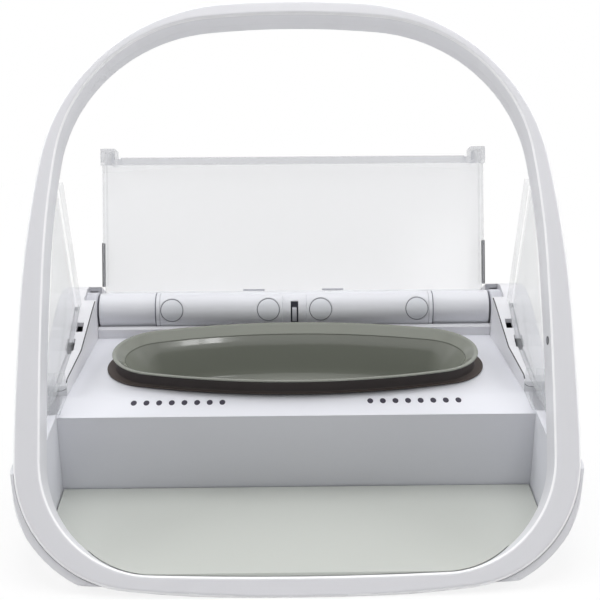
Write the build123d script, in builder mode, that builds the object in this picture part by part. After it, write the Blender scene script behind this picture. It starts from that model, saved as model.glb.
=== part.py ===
from build123d import *
from math import acos, atan2, cos, degrees, pi, radians, sin, sqrt, tan
import os

# Pet feeder that opens for one microchip. Millimetres. X runs across the front, +Y towards the back, +Z up.
# The origin is on the table under the middle of the feeder.

# ---------------------------------------------------------------- housing
shell_half_width = 116.0
shell_wall = 2.2
shell_bottom = 0.8
shell_floor = 3.0
bottom_round = 8.0
front_edge = -127.5
front_widest = -68.0
front_radii = (2000.0, 36.0, 1220.0)
rear_edge = 128.0
rear_widest = 0.0
rear_radii = (557.0, 74.0, 530.0)
shell_inner_gap = 0.3
seam_front_height = 42.0
seam_rear_height = 17.0

# ---------------------------------------------------------------- hoop that reads the chip
hoop_lean = 36.0
hoop_foot = -128.0
hoop_inset = 1.6
hoop_half_width = shell_half_width - hoop_inset
hoop_low = 0.1
hoop_low_centre = 82.0
hoop_high_centre = 110.0
hoop_high = 256.0
hoop_low_radii = (620.0, 52.0, 647.0)
hoop_high_radii = (468.0, 86.0, 444.0)
hoop_side_rim = 9.4
window_half_width = hoop_half_width - hoop_side_rim
window_low = 8.5
window_low_centre = 134.0
window_high_centre = 136.0
window_high = 249.5
window_low_radii = (1700.0, 47.0, 1593.0)
window_high_radii = (394.0, 71.7, 377.0)
hoop_front_depth = 9.0
hoop_rear_depth = 6.0
hoop_skin = 1.7
hoop_outer_round = 1.6
hoop_inner_round = 1.3
hoop_seat = 0.3
hoop_gap = 0.15
hoop_proud = 1.5
coil_depth = 2.0
shell_reach = 3.0
flange_start = 1.6
flange_depth = 2.0

# ---------------------------------------------------------------- tray, mat and shelf
tray_side_room = 12.5
tray_half_width = shell_half_width - tray_side_room
tray_underside = 3.2
tray_floor = 5.4
riser_face = -56.5
mat_low = 5.7
mat_high = 7.1
mat_side_gap = 0.5
mat_half_width = tray_half_width - mat_side_gap
mat_front = -122.5
mat_rear = -57.0
mat_gap = 0.3
shelf_top = 43.5
shelf_crease = -40.2
shelf_nose = 42.2
shelf_back = 24.3
vent_radius = 1.3
vent_pitch = 5.57
vent_first = 32.6
vent_count = 8
vent_row = -44.3

# ---------------------------------------------------------------- bowl and its seal
bowl_centre = -9.4
oval_end_turn = 75.0
hole_half = (82.2, 28.1)
rim_half = (85.2, 32.9)
rim_low = 49.4
rim_high = 52.0
rim_round = 0.7
mouth_half = (83.4, 31.0)
throat_half = (79.4, 26.4)
throat_height = 48.0
bowl_wall = 2.4
bowl_lower = ((22.4, 66.0, 17.5), (23.6, 70.5, 21.0), (27.0, 74.0, 23.6), (35.0, 77.4, 25.6))
bowl_neck = ((43.6, 80.4, 27.0), (45.6, 80.8, 27.4), (49.8, 83.4, 31.0))
seal_lip_half = (87.8, 30.3)
seal_low = 43.8
seal_lip_top = 44.8
seal_top = 46.2
seal_collar_half = (83.6, 29.4)
seal_inner_half = (81.3, 28.0)

# ---------------------------------------------------------------- lid and its barrel
axis_y = 35.0
axis_z = 53.8
lid_lean = 22.0
lid_side_room = 19.6
barrel_radius = 8.8
barrel_half = shell_half_width - lid_side_room
pad_radius = 9.5
pad_half = 68.6
pad_low_angle = -36.0
pad_high_angle = 75.0
trough_radius = 9.9
trough_skin = 12.1
trough_half = barrel_half + 1.6
trough_lip = 48.0
rear_crest = (46.5, 57.8)
rear_knee = (90.0, 41.8)
rear_brow = (118.0, 30.8)
slope_wall = 2.4
rear_boss_top = 38.0
strip_outer = barrel_half - 0.4
lid_half = strip_outer - 1.0
lid_low = -6.4
lid_high = 76.4
lid_back = -4.9
lid_face = -3.1
lid_lip_half = lid_half - 9.0
lid_lip_low = 73.2
lid_lip_height = 1.2
lid_tab_inner = lid_half - 7.0
lid_tab_wall = 1.6
lid_tab_low = 72.0
lid_tab_high = 80.0
lid_tab_height = 8.6
lid_flange_low = 12.0
lid_flange_high = 74.0
lid_flange_inner = lid_half - 1.8
lid_flange_height = 3.0
strip_low = 12.0
strip_high = 34.0
cap_places = (-60.5, -12.9, 12.9, 60.5)
cap_radius = 5.6
cap_centre = 0.0
cap_back = 6.0
cap_gap = 0.1
screw_head_back = 3.6
screw_head_top = 5.4
screw_radius = 1.5
screw_head_radius = 2.8
recess_half = 6.0
catch_slot_half = 1.85
catch_slot_low = axis_z - 4.5
catch_slot_high = axis_z + 7.0
catch_back = axis_y - 5.5
catch_half = 1.1
catch_low = axis_z - 3.0
catch_high = axis_z + 3.5

# ---------------------------------------------------------------- hubs, pins and side rails
hub_radius = 9.2
hub_start = barrel_half + 1.0
hub_pocket_radius = 9.6
hub_pocket_end = barrel_half + 6.6
hub_wall_end = barrel_half + 8.0
hub_wall_radius = 11.1
hub_round = 0.8
bush_radius = 4.0
bush_start = barrel_half + 1.8
pin_radius = 2.0
pin_gap = 0.05
pin_start = barrel_half - 10.4
pin_end_left = barrel_half + 7.6
pin_end_right = barrel_half + 13.0
shaft_bore = 2.6
rail_inner_front = barrel_half + 5.6
rail_inner_rear = barrel_half + 0.8
rail_front = -38.0
rail_rear = 65.0
rail_rear_top = 50.5
rail_low = 40.0
rail_straight = 24.0
rail_wall = 2.0
rail_reach = 24.0
rail_top_wall = 2.2
shield_inner = barrel_half + 8.1
shield_outer = shield_inner + 2.0
shield_slot_gap = 0.15
shield_band_inner = shield_inner - 1.2
clip_front = -56.0
clip_rear = -38.0
clip_inner = rail_inner_front
clip_outer = shield_outer + 3.5
clip_top = 55.0
clip_slot_low = 49.5
shield_top = [(19.2, 65.0), (0.0, 131.0), (-14.1, 131.0)]
shield_band_points = [(9.4, 64.0), (19.3, 64.0), (0.0, 131.0), (-10.6, 131.0)]

window_radius = 1.8
window_depth = 7.0
window_places = ((-1, 160.0), (1, 160.0), (1, 103.0))
window_inside = 0.6
switch_low = (hub_wall_end, 20.8, 48.0)
switch_high = (hub_wall_end + 3.6, 24.6, 55.0)

# ---------------------------------------------------------------- lid drive
gear_module = 1.0
gear_angle = 25.0
gear_addendum = 0.8
gear_dedendum = 1.0
gear_backlash = 0.2
gear_start = barrel_half + 8.8
gear_end = gear_start + 3.6
lid_gear_teeth = 16
idler_teeth = 14
pinion_teeth = 10
idler_place = (axis_y + 9.0, axis_z - 12.0)
pinion_place = (axis_y + 20.6, axis_z - 15.1)
motor_radius = 5.6
motor_gap = 0.1
shaft_depth = 3.2
motor_start = barrel_half - 24.4
motor_end = barrel_half + 5.8
motor_shaft_radius = 1.0
idler_pin_radius = 1.2
plate_start = motor_end
plate_end = plate_start + 1.6

# ---------------------------------------------------------------- batteries, boards and buttons
cell_radius = 13.1
cell_length = 50.0
cell_height = 16.4
cell_rows = (40.6, 67.6)
box_outer = barrel_half - 1.4
box_inner = box_outer - 52.0
box_front = 27.0
box_rear = 81.5
box_top = 30.2
box_wall = 1.8
cover_gap = 0.3
button_radius = 6.0
button_x = 22.0
button_y = 100.0
button_travel = 1.5
button_gap = 0.3
foot_radius = 6.0
foot_thickness = 1.8
foot_places = ((-75.0, -75.0), (75.0, -75.0), (-60.0, 100.0), (60.0, 100.0))
cover_edge = 1.0
cover_top = 2.8
contact_thickness = 1.0
terminal_radius = 3.5
terminal_length = 1.5
board_low = 20.0
board_thickness = 1.6
board_half = 32.0
board_front = 40.0
board_rear = 80.0
board_post_x = 28.0
board_post_rows = (44.0, 76.0)
board_post_radius = 3.0
chip_height = 3.0
boss_radius = 4.0
boss_below_seam = 1.0
boss_limit = 30.0
case_screw_radius = 1.45
case_screw_bore = 1.5
case_screw_bite = 7.0
case_head_radius = 2.8
case_head_room = 3.0
case_head_low = 1.0
case_head_seat = 2.6
case_screw_front = shell_half_width - 24.0
case_screw_side = shell_half_width - 21.0
case_screw_places = (
    (-case_screw_front, -25.0),
    (case_screw_front, -25.0),
    (-70.0, 96.0),
    (70.0, 96.0),
    (-case_screw_side, 10.0),
    (case_screw_side, 10.0),
)


def arc_points(centre, radius, start, end):
    """Start, middle and end of an arc between two turns in radians."""
    turns = (start, (start + end) / 2, end)
    return [(centre[0] + radius * cos(turn), centre[1] + radius * sin(turn)) for turn in turns]


def quarter_arcs(half_width, reach, radii):
    """Side, corner and end arcs of a rounded quarter, which run into each other without a kink."""
    side, corner, end = radii
    side_centre = (half_width - side, 0.0)
    end_centre = (0.0, reach - end)
    across = end_centre[0] - side_centre[0]
    down = end_centre[1] - side_centre[1]
    span = sqrt(across**2 + down**2)
    along = ((side - corner) ** 2 - (end - corner) ** 2 + span**2) / (2 * span)
    aside = sqrt((side - corner) ** 2 - along**2)
    corner_centre = (
        side_centre[0] + (across * along - down * aside) / span,
        side_centre[1] + (down * along + across * aside) / span,
    )
    first = atan2(corner_centre[1] - side_centre[1], corner_centre[0] - side_centre[0])
    second = atan2(corner_centre[1] - end_centre[1], corner_centre[0] - end_centre[0])
    return [
        arc_points(side_centre, side, 0.0, first),
        arc_points(corner_centre, corner, first, second),
        arc_points(end_centre, end, second, pi / 2),
    ]


def egg(half_width, low, low_centre, high_centre, high, low_radii, high_radii, inset):
    """Closed outline, symmetric about Y and widest between two heights, drawn in by a distance."""
    half = half_width - inset
    upper = quarter_arcs(half, high - high_centre - inset, [radius - inset for radius in high_radii])
    lower = quarter_arcs(half, low_centre - low - inset, [radius - inset for radius in low_radii])
    with BuildSketch() as outline:
        with BuildLine():
            for arc in upper:
                ThreePointArc(*[(x, high_centre + y) for x, y in arc])
            Line((half, low_centre), (half, high_centre))
            for arc in lower:
                ThreePointArc(*[(x, low_centre - y) for x, y in arc])
            mirror(about=Plane.YZ)
        make_face()
    return outline.sketch


def oval(half):
    """Flat oval of the bowl's form, from its two half sizes, out of end arcs and side arcs."""
    turn = radians(oval_end_turn)
    spread = (1 - cos(turn)) * (1 - sin(turn)) - cos(turn) * sin(turn)
    end_radius = (half[0] * (1 - sin(turn)) - half[1] * cos(turn)) / spread
    side_radius = (half[1] * (1 - cos(turn)) - half[0] * sin(turn)) / spread
    arcs = [
        arc_points((half[0] - end_radius, 0.0), end_radius, 0.0, turn),
        arc_points((0.0, half[1] - side_radius), side_radius, turn, pi / 2),
    ]
    with BuildSketch() as outline:
        with BuildLine():
            for arc in arcs:
                ThreePointArc(*arc)
            mirror(about=Plane.YZ)
            mirror(about=Plane.XZ)
        make_face()
    return outline.sketch


def shell_plan(inset):
    """Housing outline seen from above, drawn in by a distance."""
    return egg(
        shell_half_width,
        front_edge,
        front_widest,
        rear_widest,
        rear_edge,
        front_radii,
        rear_radii,
        inset,
    )


def shell_block(inset, top, low):
    """Housing body drawn in by a distance, with its rounded bottom edge."""
    with BuildPart() as block:
        with BuildSketch(Plane.XY.offset(low)):
            add(shell_plan(inset))
        extrude(amount=top - low)
        fillet(block.edges().group_by(Axis.Z)[0], bottom_round - inset)
    return block.part


def shell_column(inset, low, high):
    """Upright housing body drawn in by a distance, with a sharp bottom edge."""
    with BuildPart() as block:
        with BuildSketch(Plane.XY.offset(low)):
            add(shell_plan(inset))
        extrude(amount=high - low)
    return block.part


def side_prism(points, start, end):
    """Solid with a side view given as (y, z) points, between two places across the feeder."""
    with BuildPart() as prism:
        with BuildSketch(Plane.YZ.offset(start)):
            with BuildLine():
                Polyline(*points, close=True)
            make_face()
        extrude(amount=end - start)
    return prism.part


def cross_rod(radius, place, start, end):
    """Round bar along X at a (y, z) place."""
    with BuildPart() as rod:
        with BuildSketch(Plane.YZ.offset(start)):
            with Locations(place):
                Circle(radius)
        extrude(amount=end - start)
    return rod.part


def box_between(low, high):
    """Box between two opposite corners."""
    with BuildPart() as box:
        with Locations(tuple((a + b) / 2 for a, b in zip(low, high))):
            Box(*[b - a for a, b in zip(low, high)])
    return box.part


def upright(radius, place, low, high):
    """Upright cylinder."""
    with BuildPart() as rod:
        with BuildSketch(Plane.XY.offset(low)):
            with Locations(place):
                Circle(radius)
        extrude(amount=high - low)
    return rod.part


def seam(y):
    """Height of the sloping seam between the lower and the upper housing."""
    share = (y - front_edge) / (rear_edge - front_edge)
    return seam_front_height + (seam_rear_height - seam_front_height) * share


far = 300.0
seam_low_end = (rear_edge + far, seam(rear_edge + far))
seam_high_end = (front_edge - far, seam(front_edge - far))
below_seam = side_prism([seam_low_end, seam_high_end, (front_edge - far, -far), (rear_edge + far, -far)], -far, far)
above_seam = side_prism([seam_low_end, seam_high_end, (front_edge - far, far), (rear_edge + far, far)], -far, far)

# ---------------------------------------------------------------- hoop
# The hoop lies in a plane that leans back from the front edge of the feeder.
hoop_plane = Plane(
    origin=(0, hoop_foot, 0),
    x_dir=(1, 0, 0),
    z_dir=(0, -cos(radians(hoop_lean)), sin(radians(hoop_lean))),
)


def hoop_outline(inset):
    """Outer edge of the hoop, drawn in by a distance."""
    return egg(
        hoop_half_width,
        hoop_low,
        hoop_low_centre,
        hoop_high_centre,
        hoop_high,
        hoop_low_radii,
        hoop_high_radii,
        inset,
    )


def hoop_window(outset):
    """Inner edge of the hoop, drawn out by a distance."""
    return egg(
        window_half_width,
        window_low,
        window_low_centre,
        window_high_centre,
        window_high,
        window_low_radii,
        window_high_radii,
        -outset,
    )


def hoop_ring(inset, start, end, seat):
    """Ring with the hoop's section drawn in, between two depths behind its face, cut level at its foot."""
    with BuildPart() as ring:
        with BuildSketch(hoop_plane.offset(-start)):
            add(hoop_outline(inset))
            add(hoop_window(inset), mode=Mode.SUBTRACT)
        extrude(amount=-(end - start))
        split(bisect_by=Plane.XY.offset(seat), keep=Keep.TOP)
    return ring.part


def half_space_behind(depth):
    """Large block behind a plane that lies a distance behind the hoop's face."""
    with BuildPart() as block:
        with BuildSketch(hoop_plane.offset(-depth)):
            Rectangle(2 * far, 4 * far)
        extrude(amount=-2 * far)
    return block.part


hoop_depth = hoop_front_depth + hoop_rear_depth
hoop_clear = hoop_ring(-hoop_gap, -hoop_gap, hoop_depth + hoop_gap, hoop_seat - hoop_gap)
front_channel = hoop_ring(hoop_skin, hoop_skin, hoop_front_depth, hoop_seat + hoop_skin)
rear_channel = hoop_ring(hoop_skin, hoop_front_depth, hoop_depth - hoop_skin, hoop_seat + hoop_skin)

with BuildPart() as hoop_front:
    with BuildSketch(hoop_plane):
        add(hoop_outline(0))
        add(hoop_window(0), mode=Mode.SUBTRACT)
    extrude(amount=-hoop_front_depth)
    hoop_face = hoop_front.faces().sort_by(Axis((0, 0, 0), tuple(hoop_plane.z_dir)))[-1]
    fillet(hoop_face.outer_wire().edges(), hoop_outer_round)
    hoop_face = hoop_front.faces().sort_by(Axis((0, 0, 0), tuple(hoop_plane.z_dir)))[-1]
    fillet(hoop_face.inner_wires().edges(), hoop_inner_round)
    split(bisect_by=Plane.XY.offset(hoop_seat), keep=Keep.TOP)
    add(front_channel, mode=Mode.SUBTRACT)

with BuildPart() as hoop_rear:
    add(hoop_ring(0, hoop_front_depth, hoop_depth, hoop_seat))
    add(rear_channel, mode=Mode.SUBTRACT)

coil_outer = hoop_ring(hoop_skin + cap_gap, hoop_skin, hoop_skin + coil_depth, hoop_seat + hoop_skin + cap_gap)
with BuildPart() as antenna_coil:
    add(coil_outer)


def hoop_prism(inset, start):
    """Everything behind a depth of the hoop that lies inside its outer edge drawn in by a distance."""
    with BuildPart() as prism:
        with BuildSketch(hoop_plane.offset(-start)):
            add(hoop_outline(inset))
        extrude(amount=-far)
    return prism.part


front_reach = hoop_prism(-shell_reach, flange_start)
front_void = hoop_prism(shell_wall - shell_reach, flange_start + flange_depth)
inner_reach = hoop_prism(-hoop_gap, 0.0)
lining_reach = hoop_prism(-hoop_gap / 2, hoop_proud)

# ---------------------------------------------------------------- lower housing
bottom_block = shell_block(0, shelf_top + hoop_depth, shell_bottom)
bottom_void = shell_block(shell_wall, shelf_top + hoop_depth, shell_floor)
battery_walls = []
battery_rooms = []
battery_mouths = []
for side in (-1, 1):
    low_x, high_x = sorted((side * box_inner, side * box_outer))
    battery_walls.append(
        box_between(
            (low_x - box_wall, box_front - box_wall, shell_floor),
            (high_x + box_wall, box_rear + box_wall, box_top + box_wall),
        )
    )
    battery_rooms.append(
        box_between((low_x, box_front, shell_bottom - box_wall), (high_x, box_rear, box_top))
    )
boss_tops = [min(seam(place[1]) - boss_below_seam, boss_limit) for place in case_screw_places]
bosses = []
boss_bores = []
head_rooms = []
for place, top in zip(case_screw_places, boss_tops):
    bosses.append(upright(boss_radius, place, shell_floor, top))
    boss_bores.append(upright(case_screw_bore, place, 0.0, top + case_screw_bite + pin_gap))
    head_rooms.append(upright(case_head_room, place, 0.0, case_head_seat))
cover_rooms = []
for side in (-1, 1):
    low_x, high_x = sorted((side * (box_inner - cover_edge - cover_gap), side * (box_outer + cover_edge + cover_gap)))
    cover_rooms.append(
        box_between(
            (low_x, box_front - cover_edge - cover_gap, 0.0),
            (high_x, box_rear + cover_edge + cover_gap, cover_top),
        )
    )
board_posts = []
for post_x in (-board_post_x, board_post_x):
    for post_y in board_post_rows:
        board_posts.append(upright(board_post_radius, (post_x, post_y), shell_floor, board_low))
foot_pockets = [upright(foot_radius + cap_gap, place, 0.0, foot_thickness) for place in foot_places]

with BuildPart() as hollow_reach:
    add(front_void)
    add(inner_reach)
with BuildPart() as hollow_block:
    add(bottom_void)
    add(hollow_reach.part, mode=Mode.INTERSECT)
with BuildPart() as base_shell:
    add(bottom_block)
    add(front_reach, mode=Mode.INTERSECT)
    add(hollow_block.part, mode=Mode.SUBTRACT)
    add(battery_walls)
    add(bosses)
    add(board_posts)
    add(battery_rooms, mode=Mode.SUBTRACT)
    add(cover_rooms, mode=Mode.SUBTRACT)
    add(boss_bores, mode=Mode.SUBTRACT)
    add(head_rooms, mode=Mode.SUBTRACT)
    add(foot_pockets, mode=Mode.SUBTRACT)
    add(below_seam, mode=Mode.INTERSECT)
    add(hoop_clear, mode=Mode.SUBTRACT)

# ---------------------------------------------------------------- upper housing with tray and shelf
deck_column = shell_column(0, seam(shelf_back) - hoop_depth, shelf_top)
deck_void = shell_column(shell_wall, -far, shelf_top - shell_wall)
inner_column = shell_block(shell_wall + shell_inner_gap, shelf_top, tray_underside)
mat_column = shell_block(shell_wall + 2 * shell_inner_gap, shelf_top, tray_underside)
before_rear = box_between((-far, -far, -far), (far, shelf_back, far))
behind_hoop = half_space_behind(hoop_depth + hoop_gap)
tray_lining = box_between(
    (-tray_half_width - shell_wall, front_edge, tray_underside), (tray_half_width + shell_wall, riser_face + shell_wall, shelf_top)
)
tray_room = box_between((-tray_half_width, -far, tray_floor), (tray_half_width, riser_face, far))
nose_wedge = side_prism(
    [(shelf_crease, shelf_top), (riser_face, shelf_nose), (riser_face, far), (shelf_crease, far)],
    -tray_half_width,
    tray_half_width,
)
vents = [
    upright(vent_radius, (side * (vent_first + vent_pitch * index), vent_row), shelf_top - 2 * shell_wall, shelf_top + shell_wall)
    for index in range(vent_count)
    for side in (-1, 1)
]
with BuildPart() as bowl_hole_block:
    with BuildSketch(Plane.XY.offset(shelf_top - 2 * shell_wall)):
        with Locations((0, bowl_centre)):
            add(oval(hole_half))
    extrude(amount=3 * shell_wall)
bowl_hole = bowl_hole_block.part
deck_bosses = []
for place, top in zip(case_screw_places, boss_tops):
    if place[1] < shelf_back:
        deck_bosses.append(upright(boss_radius, place, top, shelf_top - shell_wall))

with BuildPart() as deck_outer_block:
    add(deck_column)
    add(deck_void, mode=Mode.SUBTRACT)
    add(above_seam, mode=Mode.INTERSECT)
    add(behind_hoop, mode=Mode.INTERSECT)
with BuildPart() as deck_lining_block:
    add(tray_lining)
    add(inner_column, mode=Mode.INTERSECT)
    add(lining_reach, mode=Mode.INTERSECT)
with BuildPart() as top_deck:
    add(deck_outer_block.part)
    add(deck_lining_block.part)
    add(deck_bosses)
    add(tray_room, mode=Mode.SUBTRACT)
    add(nose_wedge, mode=Mode.SUBTRACT)
    add(vents, mode=Mode.SUBTRACT)
    add(bowl_hole, mode=Mode.SUBTRACT)
    add(boss_bores, mode=Mode.SUBTRACT)
    add(hoop_clear, mode=Mode.SUBTRACT)
    add(before_rear, mode=Mode.INTERSECT)

mat_slab = box_between((-mat_half_width, mat_front, mat_low), (mat_half_width, mat_rear, mat_high))
mat_clear = hoop_ring(-mat_gap, -mat_gap, hoop_depth + mat_gap, hoop_seat - mat_gap)
mat_reach = hoop_prism(-hoop_gap / 2, hoop_proud + mat_gap)
with BuildPart() as front_mat:
    add(mat_slab)
    add(mat_column, mode=Mode.INTERSECT)
    add(mat_reach, mode=Mode.INTERSECT)
    add(mat_clear, mode=Mode.SUBTRACT)

# ---------------------------------------------------------------- rear housing with the lid's trough
rear_low = seam(rear_edge)
rear_outer = side_prism(
    [
        (shelf_back, -far),
        (shelf_back, trough_lip),
        rear_crest,
        rear_knee,
        rear_brow,
        (rear_edge + 1.0, rear_low),
        (rear_edge + 1.0, -far),
    ],
    -far,
    far,
)
rear_inner = side_prism(
    [
        (shelf_back - 1.0, -far),
        (shelf_back - 1.0, shelf_top - shell_wall),
        (shelf_back + shell_wall, shelf_top - shell_wall),
        (shelf_back + shell_wall, trough_lip - slope_wall),
        (rear_crest[0], rear_crest[1] - slope_wall),
        (rear_knee[0], rear_knee[1] - slope_wall),
        (rear_brow[0], rear_brow[1] - slope_wall),
        (rear_edge - shell_wall, rear_low),
        (rear_edge - shell_wall, -far),
    ],
    -far,
    far,
)
rear_column = shell_column(0, rear_low - shell_wall, axis_z + trough_skin)
rear_void_column = shell_column(shell_wall, rear_low - 2 * shell_wall, axis_z + trough_skin)
shoulder_solids = []
shoulder_cuts = []
for side in (-1, 1):
    low_x, high_x = sorted((side * (rail_inner_rear - shell_wall), side * far))
    shoulder_solids.append(box_between((low_x, 0.0, shelf_top - shell_wall), (high_x, rail_rear + shell_wall, far)))
    low_x, high_x = sorted((side * (rail_inner_rear - cap_gap), side * far))
    shoulder_cuts.append(box_between((low_x, 0.0, shelf_top), (high_x, rail_rear + cap_gap, far)))
trough = cross_rod(trough_radius, (axis_y, axis_z), -trough_half, trough_half)
trough_wall = cross_rod(trough_skin, (axis_y, axis_z), -trough_half - shell_wall, trough_half + shell_wall)
motor_room = cross_rod(motor_radius + motor_gap, pinion_place, motor_start - motor_gap, motor_end)
gear_opening = box_between((motor_end - 0.2, axis_y, 38.0), (gear_end + 0.8, 62.4, 60.0))
rear_bosses = []
for place, top in zip(case_screw_places, boss_tops):
    if place[1] > shelf_back:
        rear_bosses.append(upright(boss_radius, place, top, rear_boss_top))

# The two buttons stand square to the sloping back.
button_tilt = degrees(atan2(rear_knee[1] - rear_brow[1], rear_brow[0] - rear_knee[0]))
button_surface = rear_knee[1] - (button_y - rear_knee[0]) * tan(radians(button_tilt))
button_plane = Plane(
    origin=(0, button_y, button_surface),
    x_dir=(1, 0, 0),
    z_dir=(0, sin(radians(button_tilt)), cos(radians(button_tilt))),
)


def button_rod(radius, x, low, high):
    """Cylinder square to the sloping back, between two heights from its surface."""
    with BuildPart() as rod:
        with BuildSketch(button_plane.offset(low)):
            with Locations((x, 0)):
                Circle(radius)
        extrude(amount=high - low)
    return rod.part


button_holes = [button_rod(button_radius + button_gap, x, -5.0, 5.0) for x in (-button_x, button_x)]
button_posts = [button_rod(2.5, x, -6.0, -1.5) for x in (-button_x - 14.0, 0.0, button_x + 14.0)]

with BuildPart() as rear_hull_block:
    add(rear_column)
    add(rear_outer, mode=Mode.INTERSECT)
with BuildPart() as rear_void_block:
    add(rear_void_column)
    add(rear_inner, mode=Mode.INTERSECT)
    add(trough_wall, mode=Mode.SUBTRACT)
    add(shoulder_solids, mode=Mode.SUBTRACT)
with BuildPart() as rear_cover:
    add(rear_hull_block.part)
    add(rear_void_block.part, mode=Mode.SUBTRACT)
    add(rear_bosses)
    add(button_posts)
    add(shoulder_cuts, mode=Mode.SUBTRACT)
    add(trough, mode=Mode.SUBTRACT)
    add(motor_room, mode=Mode.SUBTRACT)
    add(gear_opening, mode=Mode.SUBTRACT)
    add(button_holes, mode=Mode.SUBTRACT)
    add(boss_bores, mode=Mode.SUBTRACT)
    add(above_seam, mode=Mode.INTERSECT)

# ---------------------------------------------------------------- side rails beside the lid
rail_top = [
    (-37.0, 48.0),
    (-34.5, 50.0),
    (-30.0, 50.3),
    (-8.0, 51.8),
    (8.0, 57.6),
    (20.0, 62.0),
    (28.0, 64.2),
    (36.0, 65.2),
    (44.0, 63.2),
    (rail_rear, rail_rear_top),
]
rail_void_top = [
    (min(max(y, rail_front + rail_wall), rail_rear - rail_wall), z - rail_top_wall) for y, z in rail_top
]
rail_block_column = shell_column(0, shelf_top, axis_z + trough_skin)
rail_void_column = shell_column(rail_wall + shell_inner_gap, shelf_top - shell_wall, axis_z + trough_skin)
rail_profile = [(rail_front, shelf_top)] + rail_top + [(rail_rear, shelf_top)]
rail_void_profile = [(rail_front + rail_wall, rail_low)] + rail_void_top + [(rail_rear - rail_wall, rail_low)]


def rail_plan(side, inset):
    """Block over a side rail's plan, whose inner edge runs in towards the lid's hub."""
    corners = [
        (rail_inner_front + inset, rail_front - 1.0),
        (rail_inner_rear + inset, rail_straight),
        (rail_inner_rear + inset, rail_rear + 1.0),
        (far, rail_rear + 1.0),
        (far, rail_front - 1.0),
    ]
    with BuildPart() as block:
        with BuildSketch():
            with BuildLine():
                Polyline(*[(side * x, y) for x, y in corners], close=True)
            make_face()
        extrude(amount=far)
    return block.part


shield_seat = 1.5
slot_seat = 1.8
shield_rear = (20.0, 62.0 - shield_seat)
shield_foot = [(-73.2, clip_slot_low), (-36.0, clip_slot_low), (-35.8, 48.2)]
shield_points = shield_foot + [(y, z - shield_seat) for y, z in rail_top[2:5]] + [shield_rear] + shield_top
slot_foot = [(rail_front - 1.0, 47.9)] + [(y, z - slot_seat) for y, z in rail_top[2:6]]
slot_points = slot_foot + [(20.4, 62.0), (20.4, 80.0), (rail_front - 1.0, 80.0)]


def mirrored_prism(points, side, inner, outer):
    """Side-view solid between two distances from the middle, on one side."""
    start, end = sorted((side * inner, side * outer))
    return side_prism(points, start, end)


def mirrored_rod(radius, place, side, inner, outer):
    """Round bar along X between two distances from the middle, on one side."""
    start, end = sorted((side * inner, side * outer))
    return cross_rod(radius, place, start, end)


def mirrored_box(side, low, high):
    """Box given on the right side, put on either side."""
    low_x, high_x = sorted((side * low[0], side * high[0]))
    return box_between((low_x, low[1], low[2]), (high_x, high[1], high[2]))


def rail_parts(side):
    """Outer block, hollow, hub tube and the cuts of one side rail."""
    hub_open = hub_start - 2.0
    outside = barrel_half + rail_reach
    profile = mirrored_prism(rail_profile, side, hub_open, outside)
    hollow_profile = mirrored_prism(rail_void_profile, side, hub_open, outside)
    tube = mirrored_rod(hub_wall_radius, (axis_y, axis_z), side, hub_open, hub_wall_end)
    cuts = [
        mirrored_rod(hub_pocket_radius, (axis_y, axis_z), side, hub_open, hub_pocket_end),
        mirrored_box(
            side,
            (hub_open, axis_y - hub_pocket_radius, axis_z),
            (hub_pocket_end, axis_y + hub_pocket_radius, axis_z + rail_reach),
        ),
        mirrored_rod(shaft_bore, (axis_y, axis_z), side, hub_open, gear_end),
        mirrored_prism(slot_points, side, shield_inner - shield_slot_gap, shield_outer + shield_slot_gap),
        mirrored_box(side, (rail_inner_front - 1.0, 4.0, 50.0), (shield_inner - 0.3, 10.0, 70.0)),
        mirrored_box(side, (shield_inner - 0.9, -8.0, 46.5), (shield_outer + 0.9, -0.5, 70.0)),
    ]
    return profile, hollow_profile, tube, cuts


left_profile, left_hollow, left_tube, left_cuts = rail_parts(-1)
right_profile, right_hollow, right_tube, right_cuts = rail_parts(1)
left_plan = rail_plan(-1, 0)
left_inner_plan = rail_plan(-1, rail_wall)
right_plan = rail_plan(1, 0)
right_inner_plan = rail_plan(1, rail_wall)

with BuildPart() as left_hollow_block:
    add(rail_void_column)
    add(left_hollow, mode=Mode.INTERSECT)
    add(left_inner_plan, mode=Mode.INTERSECT)
    add(left_tube, mode=Mode.SUBTRACT)
with BuildPart() as right_hollow_block:
    add(rail_void_column)
    add(right_hollow, mode=Mode.INTERSECT)
    add(right_inner_plan, mode=Mode.INTERSECT)
    add(right_tube, mode=Mode.SUBTRACT)

with BuildPart() as side_rail_left:
    add(rail_block_column)
    add(left_profile, mode=Mode.INTERSECT)
    add(left_plan, mode=Mode.INTERSECT)
    add(left_hollow_block.part, mode=Mode.SUBTRACT)
    add(left_cuts, mode=Mode.SUBTRACT)
    add(hoop_clear, mode=Mode.SUBTRACT)
with BuildPart() as side_rail_right:
    add(rail_block_column)
    add(right_profile, mode=Mode.INTERSECT)
    add(right_plan, mode=Mode.INTERSECT)
    add(right_hollow_block.part, mode=Mode.SUBTRACT)
    add(right_cuts, mode=Mode.SUBTRACT)
    add(motor_room, mode=Mode.SUBTRACT)
    add(hoop_clear, mode=Mode.SUBTRACT)

# ---------------------------------------------------------------- clear shields and their clips
with BuildPart() as side_shield_left:
    add(mirrored_prism(shield_points, -1, shield_inner, shield_outer))
    add(mirrored_prism(shield_band_points, -1, shield_band_inner, shield_outer))
    add(hoop_clear, mode=Mode.SUBTRACT)
with BuildPart() as side_shield_right:
    add(mirrored_prism(shield_points, 1, shield_inner, shield_outer))
    add(mirrored_prism(shield_band_points, 1, shield_band_inner, shield_outer))
    add(hoop_clear, mode=Mode.SUBTRACT)

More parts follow.
